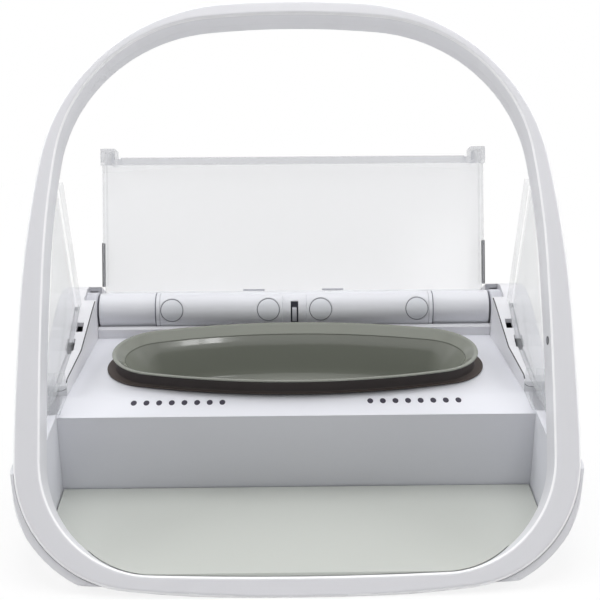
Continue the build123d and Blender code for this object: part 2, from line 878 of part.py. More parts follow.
clip_low = (clip_inner, clip_front, shelf_top)
clip_high = (clip_outer, clip_rear - cap_gap, clip_top)
clip_cut_low = (shield_inner - shield_slot_gap, clip_front - 1.0, clip_slot_low)
clip_cut_high = (shield_outer + shield_slot_gap, clip_rear + 1.0, clip_top + 1.0)
with BuildPart() as shield_clip_left:
    add(mirrored_box(-1, clip_low, clip_high))
    add(mirrored_box(-1, clip_cut_low, clip_cut_high), mode=Mode.SUBTRACT)
    add(hoop_clear, mode=Mode.SUBTRACT)
with BuildPart() as shield_clip_right:
    add(mirrored_box(1, clip_low, clip_high))
    add(mirrored_box(1, clip_cut_low, clip_cut_high), mode=Mode.SUBTRACT)
    add(hoop_clear, mode=Mode.SUBTRACT)

# ---------------------------------------------------------------- bowl and its seal


def oval_loft(sections):
    """Bowl-shaped solid through ovals given as (height, half length, half depth)."""
    with BuildPart() as body:
        for height, half_x, half_y in sections:
            with BuildSketch(Plane.XY.offset(height)):
                with Locations((0, bowl_centre)):
                    add(oval((half_x, half_y)))
        loft(ruled=True)
    return body.part


def oval_ring(outer, inner, low, high):
    """Upright oval ring."""
    with BuildPart() as body:
        with BuildSketch(Plane.XY.offset(low)):
            with Locations((0, bowl_centre)):
                add(oval(outer))
            with Locations((0, bowl_centre)):
                add(oval(inner), mode=Mode.SUBTRACT)
        extrude(amount=high - low)
    return body.part


bowl_inner = [(height + bowl_wall, half_x - bowl_wall, half_y - bowl_wall) for height, half_x, half_y in bowl_lower]
bowl_inner = bowl_inner + [(throat_height, throat_half[0], throat_half[1]), (rim_high, mouth_half[0], mouth_half[1])]
bowl_body = oval_loft(bowl_lower + bowl_neck)
bowl_room = oval_loft(bowl_inner)
bowl_rim = oval_loft(
    [
        (rim_low, rim_half[0] - rim_round, rim_half[1] - rim_round),
        (rim_low + rim_round, rim_half[0], rim_half[1]),
        (rim_high - rim_round, rim_half[0], rim_half[1]),
        (rim_high, rim_half[0] - rim_round, rim_half[1] - rim_round),
    ]
)
with BuildPart() as bowl:
    add(bowl_body)
    add(bowl_rim)
    add(bowl_room, mode=Mode.SUBTRACT)

seal_lip = oval_ring(seal_lip_half, seal_inner_half, seal_low, seal_lip_top)
seal_collar = oval_ring(seal_collar_half, seal_inner_half, seal_lip_top, seal_top)
with BuildPart() as bowl_gasket:
    add(seal_lip)
    add(seal_collar)

# ---------------------------------------------------------------- lid, its barrel and what it turns on
lid_plane = Plane(
    origin=(0, axis_y, axis_z),
    x_dir=(1, 0, 0),
    z_dir=(0, -cos(radians(lid_lean)), sin(radians(lid_lean))),
)


def lid_box(low, high):
    """Box between two corners given across, up and out from the lid."""
    with BuildPart() as box:
        with BuildSketch(lid_plane.offset(low[2])):
            with Locations(((low[0] + high[0]) / 2, (low[1] + high[1]) / 2)):
                Rectangle(high[0] - low[0], high[1] - low[1])
        extrude(amount=high[2] - low[2])
    return box.part


def lid_rod(radius, place, low, high):
    """Cylinder square to the lid."""
    with BuildPart() as rod:
        with BuildSketch(lid_plane.offset(low)):
            with Locations(place):
                Circle(radius)
        extrude(amount=high - low)
    return rod.part


lid_flanges = []
lid_tabs = []
lid_strips = []
for side in (-1, 1):
    low_x, high_x = sorted((side * lid_flange_inner, side * lid_half))
    lid_flanges.append(
        lid_box((low_x, lid_flange_low, lid_face), (high_x, lid_flange_high, lid_flange_height))
    )
    low_x, high_x = sorted((side * lid_tab_inner, side * lid_half))
    lid_tabs.append(lid_box((low_x, lid_tab_low, lid_back), (high_x, lid_tab_high, lid_face)))
    low_x2, high_x2 = sorted((side * lid_tab_inner, side * (lid_tab_inner + lid_tab_wall)))
    lid_tabs.append(lid_box((low_x2, lid_tab_low, lid_face), (high_x2, lid_tab_high, lid_tab_height)))
    low_x2, high_x2 = sorted((side * lid_flange_inner, side * lid_half))
    lid_tabs.append(lid_box((low_x2, lid_tab_low, lid_face), (high_x2, lid_tab_high, lid_tab_height)))
    lid_tabs.append(
        lid_box((low_x, lid_tab_high - lid_tab_wall, lid_face), (high_x, lid_tab_high, lid_tab_height))
    )
    low_x, high_x = sorted((side * lid_half, side * strip_outer))
    lid_strips.append(lid_box((low_x, strip_low, lid_back), (high_x, strip_high, 0.0)))

with BuildPart() as lid:
    add(lid_box((-lid_half, lid_low, lid_back), (lid_half, lid_high, lid_face)))
    add(lid_box((-lid_lip_half, lid_lip_low, lid_face), (lid_lip_half, lid_high, lid_lip_height)))
    add(lid_flanges)
    add(lid_tabs)

with BuildPart() as lid_edge_seals:
    add(lid_strips)

pad_reach = 40.0
pad_corners = [(axis_y, axis_z)] + [
    (axis_y - pad_reach * cos(radians(angle)), axis_z + pad_reach * sin(radians(angle)))
    for angle in (pad_low_angle, 20.0, pad_high_angle)
]
pad_wedge = side_prism(pad_corners, -pad_half, pad_half)
pad_rod = cross_rod(pad_radius, (axis_y, axis_z), -pad_half, pad_half)
with BuildPart() as pad_block:
    add(pad_rod)
    add(pad_wedge, mode=Mode.INTERSECT)
recess_reach = side_prism(
    [(-far, -far), (far, -far), (far, far), (-far, far)], -recess_half, recess_half
)
barrel_rod = cross_rod(barrel_radius, (axis_y, axis_z), -barrel_half, barrel_half)
with BuildPart() as recess_block:
    add(recess_reach)
    add(barrel_rod, mode=Mode.SUBTRACT)
panel_slot = lid_box((-lid_half, lid_low, lid_back), (lid_half, 2 * barrel_radius, lid_face))
catch_slot = box_between((-catch_slot_half, 0.0, catch_slot_low), (catch_slot_half, catch_back, catch_slot_high))
cap_rooms = [lid_rod(cap_radius + cap_gap, (x, cap_centre), cap_back, 2 * pad_radius) for x in cap_places]
head_pockets = [lid_rod(screw_head_radius + cap_gap, (x, cap_centre), screw_head_back, cap_back) for x in cap_places]
screw_bores = [lid_rod(screw_radius, (x, cap_centre), lid_face, screw_head_back) for x in cap_places]
pin_bores = [
    cross_rod(pin_radius, (axis_y, axis_z), pin_start, barrel_half),
    cross_rod(pin_radius, (axis_y, axis_z), -barrel_half, -pin_start),
]

with BuildPart() as lid_carrier:
    add(barrel_rod)
    add(pad_block.part)
    add(recess_block.part, mode=Mode.SUBTRACT)
    add(panel_slot, mode=Mode.SUBTRACT)
    add(catch_slot, mode=Mode.SUBTRACT)
    add(cap_rooms, mode=Mode.SUBTRACT)
    add(head_pockets, mode=Mode.SUBTRACT)
    add(screw_bores, mode=Mode.SUBTRACT)
    add(pin_bores, mode=Mode.SUBTRACT)

cap_rods = [lid_rod(cap_radius, (x, cap_centre), cap_back, 2 * pad_radius) for x in cap_places]
cap_skin = cross_rod(pad_radius, (axis_y, axis_z), -pad_half, pad_half)
with BuildPart() as lid_caps:
    add(cap_rods)
    add(cap_skin, mode=Mode.INTERSECT)

screw_heads = [lid_rod(screw_head_radius, (x, cap_centre), screw_head_back, screw_head_top) for x in cap_places]
with BuildPart() as lid_screws:
    add(screw_heads)
    add(screw_bores)

catch_box = box_between((-catch_half, 0.0, catch_low), (catch_half, catch_back, catch_high))
catch_skin = cross_rod(barrel_radius, (axis_y, axis_z), -recess_half, recess_half)
with BuildPart() as centre_catch:
    add(catch_box)
    add(catch_skin, mode=Mode.INTERSECT)

with BuildPart() as pivot_pin_left:
    add(cross_rod(pin_radius, (axis_y, axis_z), -pin_end_left, -pin_start))
with BuildPart() as drive_shaft_right:
    add(cross_rod(pin_radius, (axis_y, axis_z), pin_start, pin_end_right))

# ---------------------------------------------------------------- hubs and bearings
hub_bores = [
    cross_rod(bush_radius, (axis_y, axis_z), -hub_pocket_end, -bush_start),
    cross_rod(bush_radius, (axis_y, axis_z), bush_start, hub_pocket_end),
    cross_rod(shaft_bore, (axis_y, axis_z), -hub_pocket_end, -hub_start),
    cross_rod(shaft_bore, (axis_y, axis_z), hub_start, hub_pocket_end),
]


def hub_body(side):
    """Round cover with a softened inner edge."""
    with BuildPart() as hub:
        with BuildSketch(Plane.YZ.offset(side * hub_start)):
            with Locations((axis_y, axis_z)):
                Circle(hub_radius)
        extrude(amount=side * (hub_pocket_end - hub_start))
        fillet(hub.edges().sort_by(Axis.X)[-1 if side < 0 else 0], hub_round)
    return hub.part


left_hub = hub_body(-1)
right_hub = hub_body(1)
with BuildPart() as hub_cover_left:
    add(left_hub)
    add(hub_bores, mode=Mode.SUBTRACT)
with BuildPart() as hub_cover_right:
    add(right_hub)
    add(hub_bores, mode=Mode.SUBTRACT)

bush_bore = cross_rod(pin_radius + pin_gap, (axis_y, axis_z), -hub_pocket_end, hub_pocket_end)
with BuildPart() as shaft_bushes:
    add(cross_rod(bush_radius, (axis_y, axis_z), -hub_pocket_end, -bush_start))
    add(cross_rod(bush_radius, (axis_y, axis_z), bush_start, hub_pocket_end))
    add(bush_bore, mode=Mode.SUBTRACT)

# ---------------------------------------------------------------- lid drive


def involute(angle):
    return tan(angle) - angle


def gear_sketch(teeth, turn):
    """Spur gear outline with involute flanks; turn in radians places one tooth's middle."""
    pitch = gear_module * teeth / 2
    base = pitch * cos(radians(gear_angle))
    tip = pitch + gear_addendum
    root = pitch - gear_dedendum
    half = (pi * gear_module / 2 - gear_backlash) / (2 * pitch) + involute(radians(gear_angle))
    levels = [base + (tip - base) * step / 4 for step in range(5)]
    points = []
    for tooth in range(teeth):
        middle = turn + 2 * pi * tooth / teeth
        flank = [(root, half)] + [(radius, half - involute(acos(base / radius))) for radius in levels]
        if root > base:
            flank = [(root, half)] + [item for item in flank if item[0] > root]
        for radius, angle in flank:
            points.append((radius * cos(middle - angle), radius * sin(middle - angle)))
        for radius, angle in reversed(flank):
            points.append((radius * cos(middle + angle), radius * sin(middle + angle)))
    with BuildSketch() as outline:
        with BuildLine():
            Polyline(*points, close=True)
        make_face()
    return outline.sketch


def mesh_turn(first_teeth, first_turn, first_place, second_teeth, second_place):
    """Turn of a second gear that puts a gap opposite a tooth of the first."""
    toward = atan2(second_place[1] - first_place[1], second_place[0] - first_place[0])
    back = toward + pi
    return back - (pi - first_teeth * (toward - first_turn)) / second_teeth


def gear_body(teeth, turn, place):
    """Spur gear solid."""
    outline = gear_sketch(teeth, turn)
    with BuildPart() as gear:
        with BuildSketch(Plane.YZ.offset(gear_start)):
            with Locations(place):
                add(outline)
        extrude(amount=gear_end - gear_start)
    return gear.part


lid_gear_turn = 0.0
idler_turn = mesh_turn(lid_gear_teeth, lid_gear_turn, (axis_y, axis_z), idler_teeth, idler_place)
pinion_turn = mesh_turn(idler_teeth, idler_turn, idler_place, pinion_teeth, pinion_place)
lid_gear_body = gear_body(lid_gear_teeth, lid_gear_turn, (axis_y, axis_z))
idler_body = gear_body(idler_teeth, idler_turn, idler_place)
pinion_body = gear_body(pinion_teeth, pinion_turn, pinion_place)

with BuildPart() as lid_gear:
    add(lid_gear_body)
    add(cross_rod(pin_radius, (axis_y, axis_z), gear_start - 1.0, gear_end + 1.0), mode=Mode.SUBTRACT)
with BuildPart() as idler_gear:
    add(idler_body)
    add(cross_rod(idler_pin_radius + pin_gap, idler_place, gear_start - 1.0, gear_end + 1.0), mode=Mode.SUBTRACT)
with BuildPart() as motor_pinion:
    add(pinion_body)
    add(cross_rod(motor_shaft_radius, pinion_place, motor_end - shaft_depth, gear_start))
with BuildPart() as idler_pin:
    add(cross_rod(idler_pin_radius, idler_place, plate_start, gear_end + 0.6))
with BuildPart() as lid_motor:
    add(cross_rod(motor_radius, pinion_place, motor_start, motor_end))
    add(
        cross_rod(motor_shaft_radius + pin_gap, pinion_place, motor_end - shaft_depth - pin_gap, motor_end),
        mode=Mode.SUBTRACT,
    )
plate_points = [(39.4, 32.6), (61.7, 32.6), (61.7, 43.6), (49.4, 50.1), (40.4, 40.6)]
with BuildPart() as gear_plate:
    add(side_prism(plate_points, plate_start, plate_end))
    add(cross_rod(idler_pin_radius, idler_place, plate_start, plate_end), mode=Mode.SUBTRACT)
    add(cross_rod(motor_shaft_radius + 4 * pin_gap, pinion_place, plate_start, plate_end), mode=Mode.SUBTRACT)
with BuildPart() as lid_position_switch:
    add(box_between(switch_low, switch_high))
print("gears", [round(p.volume) for p in (lid_gear.part, idler_gear.part, motor_pinion.part)])

# ---------------------------------------------------------------- batteries
left_cells = []
right_cells = []
contacts = []
for row in cell_rows:
    for side, cells in ((-1, left_cells), (1, right_cells)):
        start = box_inner + contact_thickness
        end = start + cell_length
        cells.append(mirrored_rod(cell_radius, (row, cell_height), side, start, end - terminal_length))
        cells.append(mirrored_rod(terminal_radius, (row, cell_height), side, end - terminal_length, end))
        for low_x, high_x in ((box_inner, start), (end, box_outer)):
            contacts.append(mirrored_box(side, (low_x, row - 6.0, cell_height - 6.0), (high_x, row + 6.0, cell_height + 6.0)))
with BuildPart() as battery_cells_left:
    add(left_cells)
with BuildPart() as battery_cells_right:
    add(right_cells)
with BuildPart() as battery_contacts:
    add(contacts)
cover_low = (box_inner - cover_edge, box_front - cover_edge, shell_bottom)
cover_high = (box_outer + cover_edge, box_rear + cover_edge, cover_top)
with BuildPart() as battery_cover_left:
    add(mirrored_box(-1, cover_low, cover_high))
    add(bottom_block, mode=Mode.INTERSECT)
with BuildPart() as battery_cover_right:
    add(mirrored_box(1, cover_low, cover_high))
    add(bottom_block, mode=Mode.INTERSECT)

# ---------------------------------------------------------------- boards, buttons, windows, feet and screws
with BuildPart() as main_board:
    add(box_between((-board_half, board_front, board_low), (board_half, board_rear, board_low + board_thickness)))
    add(box_between((-12.0, 52.0, board_low + board_thickness), (0.0, 64.0, board_low + board_thickness + chip_height)))
    add(box_between((8.0, 50.0, board_low + board_thickness), (20.0, 56.0, board_low + board_thickness + chip_height)))
board_centre = button_plane.offset(-6.0)
with BuildPart() as button_board:
    with BuildSketch(button_plane.offset(-7.6)):
        Rectangle(2 * button_x + 36.0, 14.0)
    extrude(amount=1.6)
with BuildPart() as learn_button:
    add(button_rod(button_radius, -button_x, -3.4, 1.0))
    add(button_rod(button_radius + 1.2, -button_x, -3.4, -2.4))
with BuildPart() as mode_button:
    add(button_rod(button_radius, button_x, -3.4, 1.0))
    add(button_rod(button_radius + 1.2, button_x, -3.4, -2.4))

lean_sin = sin(radians(hoop_lean))
lean_cos = cos(radians(hoop_lean))
window_rods = []
for side, up in window_places:
    place = (hoop_foot + up * lean_sin + window_depth * lean_cos, up * lean_cos - window_depth * lean_sin)
    window_rods.append(mirrored_rod(window_radius, place, side, window_half_width - window_inside, window_half_width + hoop_skin))
with BuildPart() as sensor_windows:
    add(window_rods)
with BuildPart() as hoop_front_bored:
    add(hoop_front.part)
    add(window_rods, mode=Mode.SUBTRACT)

feet = [upright(foot_radius, place, 0.0, foot_thickness) for place in foot_places]
with BuildPart() as rubber_feet:
    add(feet)
case_parts = []
for place, top in zip(case_screw_places, boss_tops):
    case_parts.append(upright(case_head_radius, place, case_head_low, case_head_seat))
    case_parts.append(upright(case_screw_radius, place, case_head_seat, top + case_screw_bite))
with BuildPart() as case_screws:
    add(case_parts)

# ---------------------------------------------------------------- files
hoop_front = hoop_front_bored
pieces = {
    "hoop_front": hoop_front,
    "hoop_rear": hoop_rear,
    "antenna_coil": antenna_coil,
    "sensor_windows": sensor_windows,
    "base_shell": base_shell,
    "top_deck": top_deck,
    "front_mat": front_mat,
    "rear_cover": rear_cover,
    "side_rail_left": side_rail_left,
    "side_rail_right": side_rail_right,
    "side_shield_left": side_shield_left,
    "side_shield_right": side_shield_right,
    "shield_clip_left": shield_clip_left,
    "shield_clip_right": shield_clip_right,
    "hub_cover_left": hub_cover_left,
    "hub_cover_right": hub_cover_right,
    "shaft_bushes": shaft_bushes,
    "bowl": bowl,
    "bowl_gasket": bowl_gasket,
    "lid": lid,
    "lid_edge_seals": lid_edge_seals,
    "lid_carrier": lid_carrier,
    "lid_caps": lid_caps,
    "lid_screws": lid_screws,
    "centre_catch": centre_catch,
    "pivot_pin_left": pivot_pin_left,
    "drive_shaft_right": drive_shaft_right,
    "lid_gear": lid_gear,
    "idler_gear": idler_gear,
    "idler_pin": idler_pin,
    "motor_pinion": motor_pinion,
    "lid_motor": lid_motor,
    "gear_plate": gear_plate,
    "lid_position_switch": lid_position_switch,
    "battery_cells_left": battery_cells_left,
    "battery_cells_right": battery_cells_right,
    "battery_contacts": battery_contacts,
    "battery_cover_left": battery_cover_left,
    "battery_cover_right": battery_cover_right,
    "main_board": main_board,
    "button_board": button_board,
    "learn_button": learn_button,
    "mode_button": mode_button,
    "rubber_feet": rubber_feet,
    "case_screws": case_screws,
}
os.makedirs("parts", exist_ok=True)
for name, piece in pieces.items():
    piece.part.label = name
    export_step(piece.part, "parts/" + name + ".step")
    print(name, len(piece.part.solids()), round(piece.part.volume))
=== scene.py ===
# %% [markdown]
# # A pet feeder that opens for one animal
# The feeder is a low white housing with a leaning hoop in front. The hoop holds an aerial that reads the
# chip of the animal that puts its head through it. Behind the hoop are a tray with a soft mat, a shelf
# with an oval bowl, and a clear lid on a barrel that a small motor turns. The hard pieces come ready made
# from the CAD frame. This lesson gives them their finishes, and makes the soft and fine pieces that a CAD
# model leaves plain.

from math import atan2, cos, pi, radians, sin, sqrt, tan

import bmesh
import bpy
from mathutils import Matrix, Vector


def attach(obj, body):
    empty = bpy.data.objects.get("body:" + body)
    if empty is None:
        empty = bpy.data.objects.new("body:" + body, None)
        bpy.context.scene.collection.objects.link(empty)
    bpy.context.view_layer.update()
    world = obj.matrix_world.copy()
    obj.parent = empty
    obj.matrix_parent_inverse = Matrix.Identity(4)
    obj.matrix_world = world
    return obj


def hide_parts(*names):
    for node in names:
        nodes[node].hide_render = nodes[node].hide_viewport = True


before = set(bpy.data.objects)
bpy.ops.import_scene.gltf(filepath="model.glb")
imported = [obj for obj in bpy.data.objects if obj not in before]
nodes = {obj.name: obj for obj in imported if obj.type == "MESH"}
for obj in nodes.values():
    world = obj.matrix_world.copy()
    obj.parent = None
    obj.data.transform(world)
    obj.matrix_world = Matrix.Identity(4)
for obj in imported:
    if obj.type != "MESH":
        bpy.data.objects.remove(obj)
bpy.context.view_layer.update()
scene = bpy.context.scene
MM = 0.001

# %% [markdown]
# The camera stands about half a metre in front of the feeder and looks down at it. Its place and its
# angles were worked out from straight edges in the photograph, so the render can be laid over it.

# %% Camera
CAMERA_PLACE = Vector((-0.0044, -0.4971, 0.2770))
CAMERA_PITCH = radians(22.3)
CAMERA_YAW = radians(0.78)
CAMERA_ROLL = radians(0.21)
LENS = 69.0
SENSOR = 36.0
CLIP_END = 20.0

camera_data = bpy.data.cameras.new("camera")
camera_data.lens = LENS
camera_data.sensor_width = SENSOR
camera_data.clip_end = CLIP_END
camera = bpy.data.objects.new("camera", camera_data)
scene.collection.objects.link(camera)
turn = (
    Matrix.Rotation(-CAMERA_YAW, 4, "Z")
    @ Matrix.Rotation(pi / 2 - CAMERA_PITCH, 4, "X")
    @ Matrix.Rotation(-CAMERA_ROLL, 4, "Z")
)
camera.matrix_world = Matrix.Translation(CAMERA_PLACE) @ turn
scene.camera = camera
print("camera", [round(v, 4) for v in camera.matrix_world.translation])

# %% [markdown]
# Finishes are made of shader nodes. Writing node maths as Python is easier to read than a list of links,
# so one small class wraps a socket and gives it the usual operators, and one method makes every other
# node.


# %% Node helpers
class Wire:
    """A node's output that can be used in plain arithmetic."""

    def __init__(self, finish, socket):
        self.finish = finish
        self.socket = socket

    def math(self, operation, *others):
        """Math node that has this wire as its first value."""
        return self.finish.node("ShaderNodeMath", {"operation": operation}, [self, *others])

    def __add__(self, other):
        return self.math("ADD", other)

    def __mul__(self, other):
        return self.math("MULTIPLY", other)

    def __sub__(self, other):
        return self.math("SUBTRACT", other)

    def __rsub__(self, other):
        return self.finish.node("ShaderNodeMath", {"operation": "SUBTRACT"}, [other, self])

    def __pow__(self, other):
        return self.math("POWER", other)

    __radd__ = __add__
    __rmul__ = __mul__


class Finish:
    """A material with one Principled shader and a method that makes any other node."""

    def __init__(self, name, **values):
        self.material = bpy.data.materials.new(name)
        self.material.use_nodes = True
        self.tree = self.material.node_tree
        self.shader = self.tree.nodes["Principled BSDF"]
        self.object_place = None
        for socket, value in values.items():
            self.set(socket.replace("_", " "), value)

    def node(self, kind, settings=None, inputs=(), output=0):
        """Node of any kind, with its settings first and then the values or wires of its sockets."""
        made = self.tree.nodes.new(kind)
        for key, value in (settings or {}).items():
            setattr(made, key, value)
        pairs = inputs.items() if isinstance(inputs, dict) else enumerate(inputs)
        for key, value in pairs:
            if isinstance(value, Wire):
                self.tree.links.new(value.socket, made.inputs[key])
            else:
                made.inputs[key].default_value = value
        return Wire(self, made.outputs[output])

    def set(self, socket, value):
        """Gives a value or a wire to a socket of the Principled shader."""
        if isinstance(value, Wire):
            self.tree.links.new(value.socket, self.shader.inputs[socket])
        else:
            self.shader.inputs[socket].default_value = value

    def place(self):
        """Place on the piece, from Object coordinates."""
        if self.object_place is None:
            self.object_place = self.node("ShaderNodeTexCoord", output=3)
        return self.object_place

    def axis(self, index):
        """One coordinate of the place on the piece, in metres."""
        return self.node("ShaderNodeSeparateXYZ", {}, [self.place()], output=index)

    def ramp(self, value, start, stop, low=0.0, high=1.0):
        """Smooth step of a value between two places."""
        inputs = {"Value": value, 1: start, 2: stop, 3: low, 4: high}
        return self.node("ShaderNodeMapRange", {"interpolation_type": "SMOOTHSTEP"}, inputs)

    def noise(self, scale, detail, roughness=0.5):
        """Cloudy pattern between 0 and 1."""
        inputs = {"Vector": self.place(), "Scale": scale, "Detail": detail, "Roughness": roughness}
        return self.node("ShaderNodeTexNoise", {}, inputs)

    def mix(self, factor, first, second):
        """Blend of two colours."""
        inputs = {0: factor, 6: first, 7: second}
        return self.node("ShaderNodeMix", {"data_type": "RGBA"}, inputs, output=2)

    def bump(self, height, strength, distance, edge):
        """Surface direction of a grain on softly rounded edges, whose radius is in millimetres."""
        rounded = self.node("ShaderNodeBevel", {"samples": 4}, {"Radius": edge * MM})
        inputs = {"Strength": strength, "Distance": distance, "Height": height, "Normal": rounded}
        return self.node("ShaderNodeBump", {}, inputs)


def rgba(red, green, blue):
    """Colour from its 0 to 255 screen values."""

    def linear(value):
        share = value / 255
        return share / 12.92 if share <= 0.04045 else ((share + 0.055) / 1.055) ** 2.4

    return (linear(red), linear(green), linear(blue), 1.0)


def darker(colour, share):
    """Colour with a share of its light taken away."""
    return tuple(channel * (1 - share) for channel in colour[:3]) + (1.0,)


# %% [markdown]
# Some light and shade is too fine for the mesh and is painted by the finish: painted shade in the joints
# across the barrel, in its middle slot and in the gap round each cap, a painted highlight on the hoop's
# front edge, and painted shade on the seal's sleeve under the bowl's rim. Each one is worked out from the
# place on the piece. Object coordinates give that place in metres, and a few Math nodes turn it into a mask
# between two colours. The lid leans back, so what lies on it is measured along its slope.

# %% Painted shade and highlights drawn by place
LID_AXIS = (35.0, 53.8)
LID_LEAN = radians(22.0)
# Painted shade: this grey darkens the joints on the barrel and the gaps round the caps.
GAP_SHADE_GREY = rgba(104, 104, 116)
BARREL_SHADED_SEAMS = ((68.6, 0.3, 1.0), (66.5, 0.25, 0.35))
# Painted shade: the inside of the barrel's middle slot is painted dark grey.
SLOT_HALF = 1.9
SLOT_REACH = (8.3, 8.7)
SLOT_SHADE_GREY = rgba(72, 72, 84)
CAP_PLACES = (60.5, 12.9)
# Painted shade: the gap round each cap is darkened between these distances from its middle.
CAP_GAP_SHADE = (5.05, 5.5)
HOOP_LEAN = radians(36.0)
# Painted highlight: a paler band on the hoop's rounded front edge.
EDGE_HIGHLIGHT_BAND = (1.3, 1.05, 0.3, 0.05)
EDGE_HIGHLIGHT_WHITE = rgba(252, 252, 254)
# Painted shade: the seal's sleeve is darker above this height, under the bowl's rim.
SLEEVE_FOOT = (44.85, 45.3)
SLEEVE_SHADE_BROWN = rgba(34, 26, 24)


def from_hinge(finish):
    """Distances behind and above the lid's hinge line."""
    return finish.axis(1) - LID_AXIS[0] * MM, finish.axis(2) - LID_AXIS[1] * MM


def up_the_lid(finish):
    """Distance up the leaning lid from its hinge line."""
    back, height = from_hinge(finish)
    return height * cos(LID_LEAN) + back * sin(LID_LEAN)


def from_middle(finish):
    """Distance to the left or to the right of the feeder's middle."""
    return finish.axis(0).math("ABSOLUTE")


def reach(first, second):
    """Distance from two others at right angles."""
    return (first * first + second * second) ** 0.5


def barrel_painted_shade(finish, colour):
    """Painted shade in the joints across the barrel, where its padded middle ends, and in its middle slot.
    """
    side = from_middle(finish)
    skin = colour
    for place, half, depth in BARREL_SHADED_SEAMS:
        seam_shade = side.math("COMPARE", place * MM, half * MM) * depth
        skin = finish.mix(seam_shade, skin, GAP_SHADE_GREY)
    deep = finish.ramp(reach(*from_hinge(finish)), SLOT_REACH[0] * MM, SLOT_REACH[1] * MM, 1.0, 0.0)
    slot = side.math("LESS_THAN", SLOT_HALF * MM) * deep
    return finish.mix(slot, skin, SLOT_SHADE_GREY)


def cap_gap_shade(finish, colour):
    """Painted shade in the gap round the outer and the inner cap."""
    side = from_middle(finish)
    height = up_the_lid(finish)
    outer, inner = (reach(side - place * MM, height) for place in CAP_PLACES)
    gap = finish.ramp(outer.math("MINIMUM", inner), CAP_GAP_SHADE[0] * MM, CAP_GAP_SHADE[1] * MM)
    return finish.mix(gap, colour, GAP_SHADE_GREY)


def hoop_edge_highlight(finish, colour):
    """Painted highlight: a paler line on the hoop's rounded front edge."""
    corners = [vertex.co for vertex in nodes["hoop_front"].data.vertices]
    front = max(corner.z * sin(HOOP_LEAN) - corner.y * cos(HOOP_LEAN) for corner in corners)
    depth = finish.axis(2) * sin(HOOP_LEAN) - finish.axis(1) * cos(HOOP_LEAN)
    start, full, fade, stop = (front - value * MM for value in EDGE_HIGHLIGHT_BAND)
    highlight_band = finish.ramp(depth, start, full) * finish.ramp(depth, fade, stop, 1.0, 0.0)
    return finish.mix(highlight_band, colour, EDGE_HIGHLIGHT_WHITE)


def seal_sleeve_shade(finish, colour):
    """Painted shade: darker brown on the sleeve above the seal's lip, under the bowl's rim."""
    sleeve = finish.ramp(finish.axis(2), SLEEVE_FOOT[0] * MM, SLEEVE_FOOT[1] * MM)
    return finish.mix(sleeve, colour, SLEEVE_SHADE_BROWN)


# %% [markdown]
# Nearly everything on the feeder is moulded plastic. What tells the pieces apart is how they were moulded:
# the hoop and the housing have a satin eroded surface, the shelf is a touch cooler, and the bowl is
# polished. One function makes them all: an even colour with slight flow marks, or one of the skins above
# with painted shade and highlights, a roughness that varies a little, a very fine grain, and a Bevel node
# that softens the edges.

# %% Moulded finishes
PLASTIC_IOR = 1.5
FLOW_SCALE = 14.0
PATCH_SCALE = 60.0
PATCH_CHANGE = 0.12
GRAIN_DEPTH = 0.06


def moulded(name, colour, roughness, edge=0.5, grain=0.3, tint=0.03, grain_scale=2600.0, skin=None):
    """Moulded plastic or rubber, plain or with a skin of painted shade and highlight that is drawn by
    place.
    """
    finish = Finish(name, IOR=PLASTIC_IOR)
    if skin:
        finish.set("Base Color", skin(finish, colour))
    else:
        flow = finish.noise(FLOW_SCALE, 3.0)
        finish.set("Base Color", finish.mix(flow, darker(colour, tint), colour))
    patches = finish.noise(PATCH_SCALE, 3.0)
    finish.set("Roughness", roughness + (patches - 0.5) * PATCH_CHANGE)
    height = finish.noise(grain_scale, 2.0, 0.6)
    finish.set("Normal", finish.bump(height, grain, GRAIN_DEPTH * MM, edge))
    return finish


WHITE = rgba(228, 228, 232)
CAP_GREY = rgba(221, 223, 228)

white = moulded("white_satin", WHITE, 0.42)
deck = moulded("deck_satin", rgba(221, 222, 228), 0.46)
barrel_white = moulded("barrel_satin_painted_shade", rgba(226, 227, 232), 0.34, skin=barrel_painted_shade)
cap_white = moulded("cap_satin_painted_shade", CAP_GREY, 0.38, edge=0.3, skin=cap_gap_shade)
hub_grey = moulded("hub_satin", rgba(206, 207, 214), 0.36)
hoop_white = moulded("hoop_satin_painted_highlight", WHITE, 0.42, skin=hoop_edge_highlight)
cover_white = moulded("cover_satin", CAP_GREY, 0.38, edge=0.3)
bowl_glaze = moulded("bowl_glaze", rgba(130, 133, 124), 0.12, edge=0.4, grain=0.05, tint=0.05)
bowl_glaze.set("Coat Weight", 0.3)
bowl_glaze.set("Coat Roughness", 0.03)
seal_brown = moulded("seal_rubber", rgba(66, 58, 54), 0.62, edge=0.3, skin=seal_sleeve_shade)
dark_rubber = moulded("dark_rubber", rgba(62, 62, 66), 0.6, edge=0.3, tint=0.2)
mat_grey = moulded("mat_rubber", rgba(193, 196, 191), 0.55, grain=0.5, grain_scale=1500.0)
smoked = moulded("smoked_window", rgba(60, 60, 64), 0.15, edge=0.2, grain=0.0)
button_grey = moulded("button_grey", rgba(150, 152, 158), 0.5)
board_green = moulded("circuit_board", rgba(38, 92, 58), 0.35, edge=0.1, tint=0.35)
black_plastic = moulded("switch_black", rgba(30, 30, 32), 0.45, edge=0.2)
cell_dark = moulded("cell_sleeve", rgba(48, 52, 58), 0.25, edge=0.2)
natural = moulded("natural_nylon", rgba(226, 222, 206), 0.5, edge=0.15)
feet_black = moulded("feet_rubber", rgba(44, 44, 46), 0.7, edge=0.4)
print("materials so far", len(bpy.data.materials))

# %% [markdown]
# The lid and the shields are clear. Real refraction in thin walls costs many samples and gives little, so
# the clear finish uses Alpha: it is nearly see-through where it is looked at squarely, and greyer at
# grazing angles and on its rims, as thin clear plastic is. The thick bar along the lid's top is greyer too.

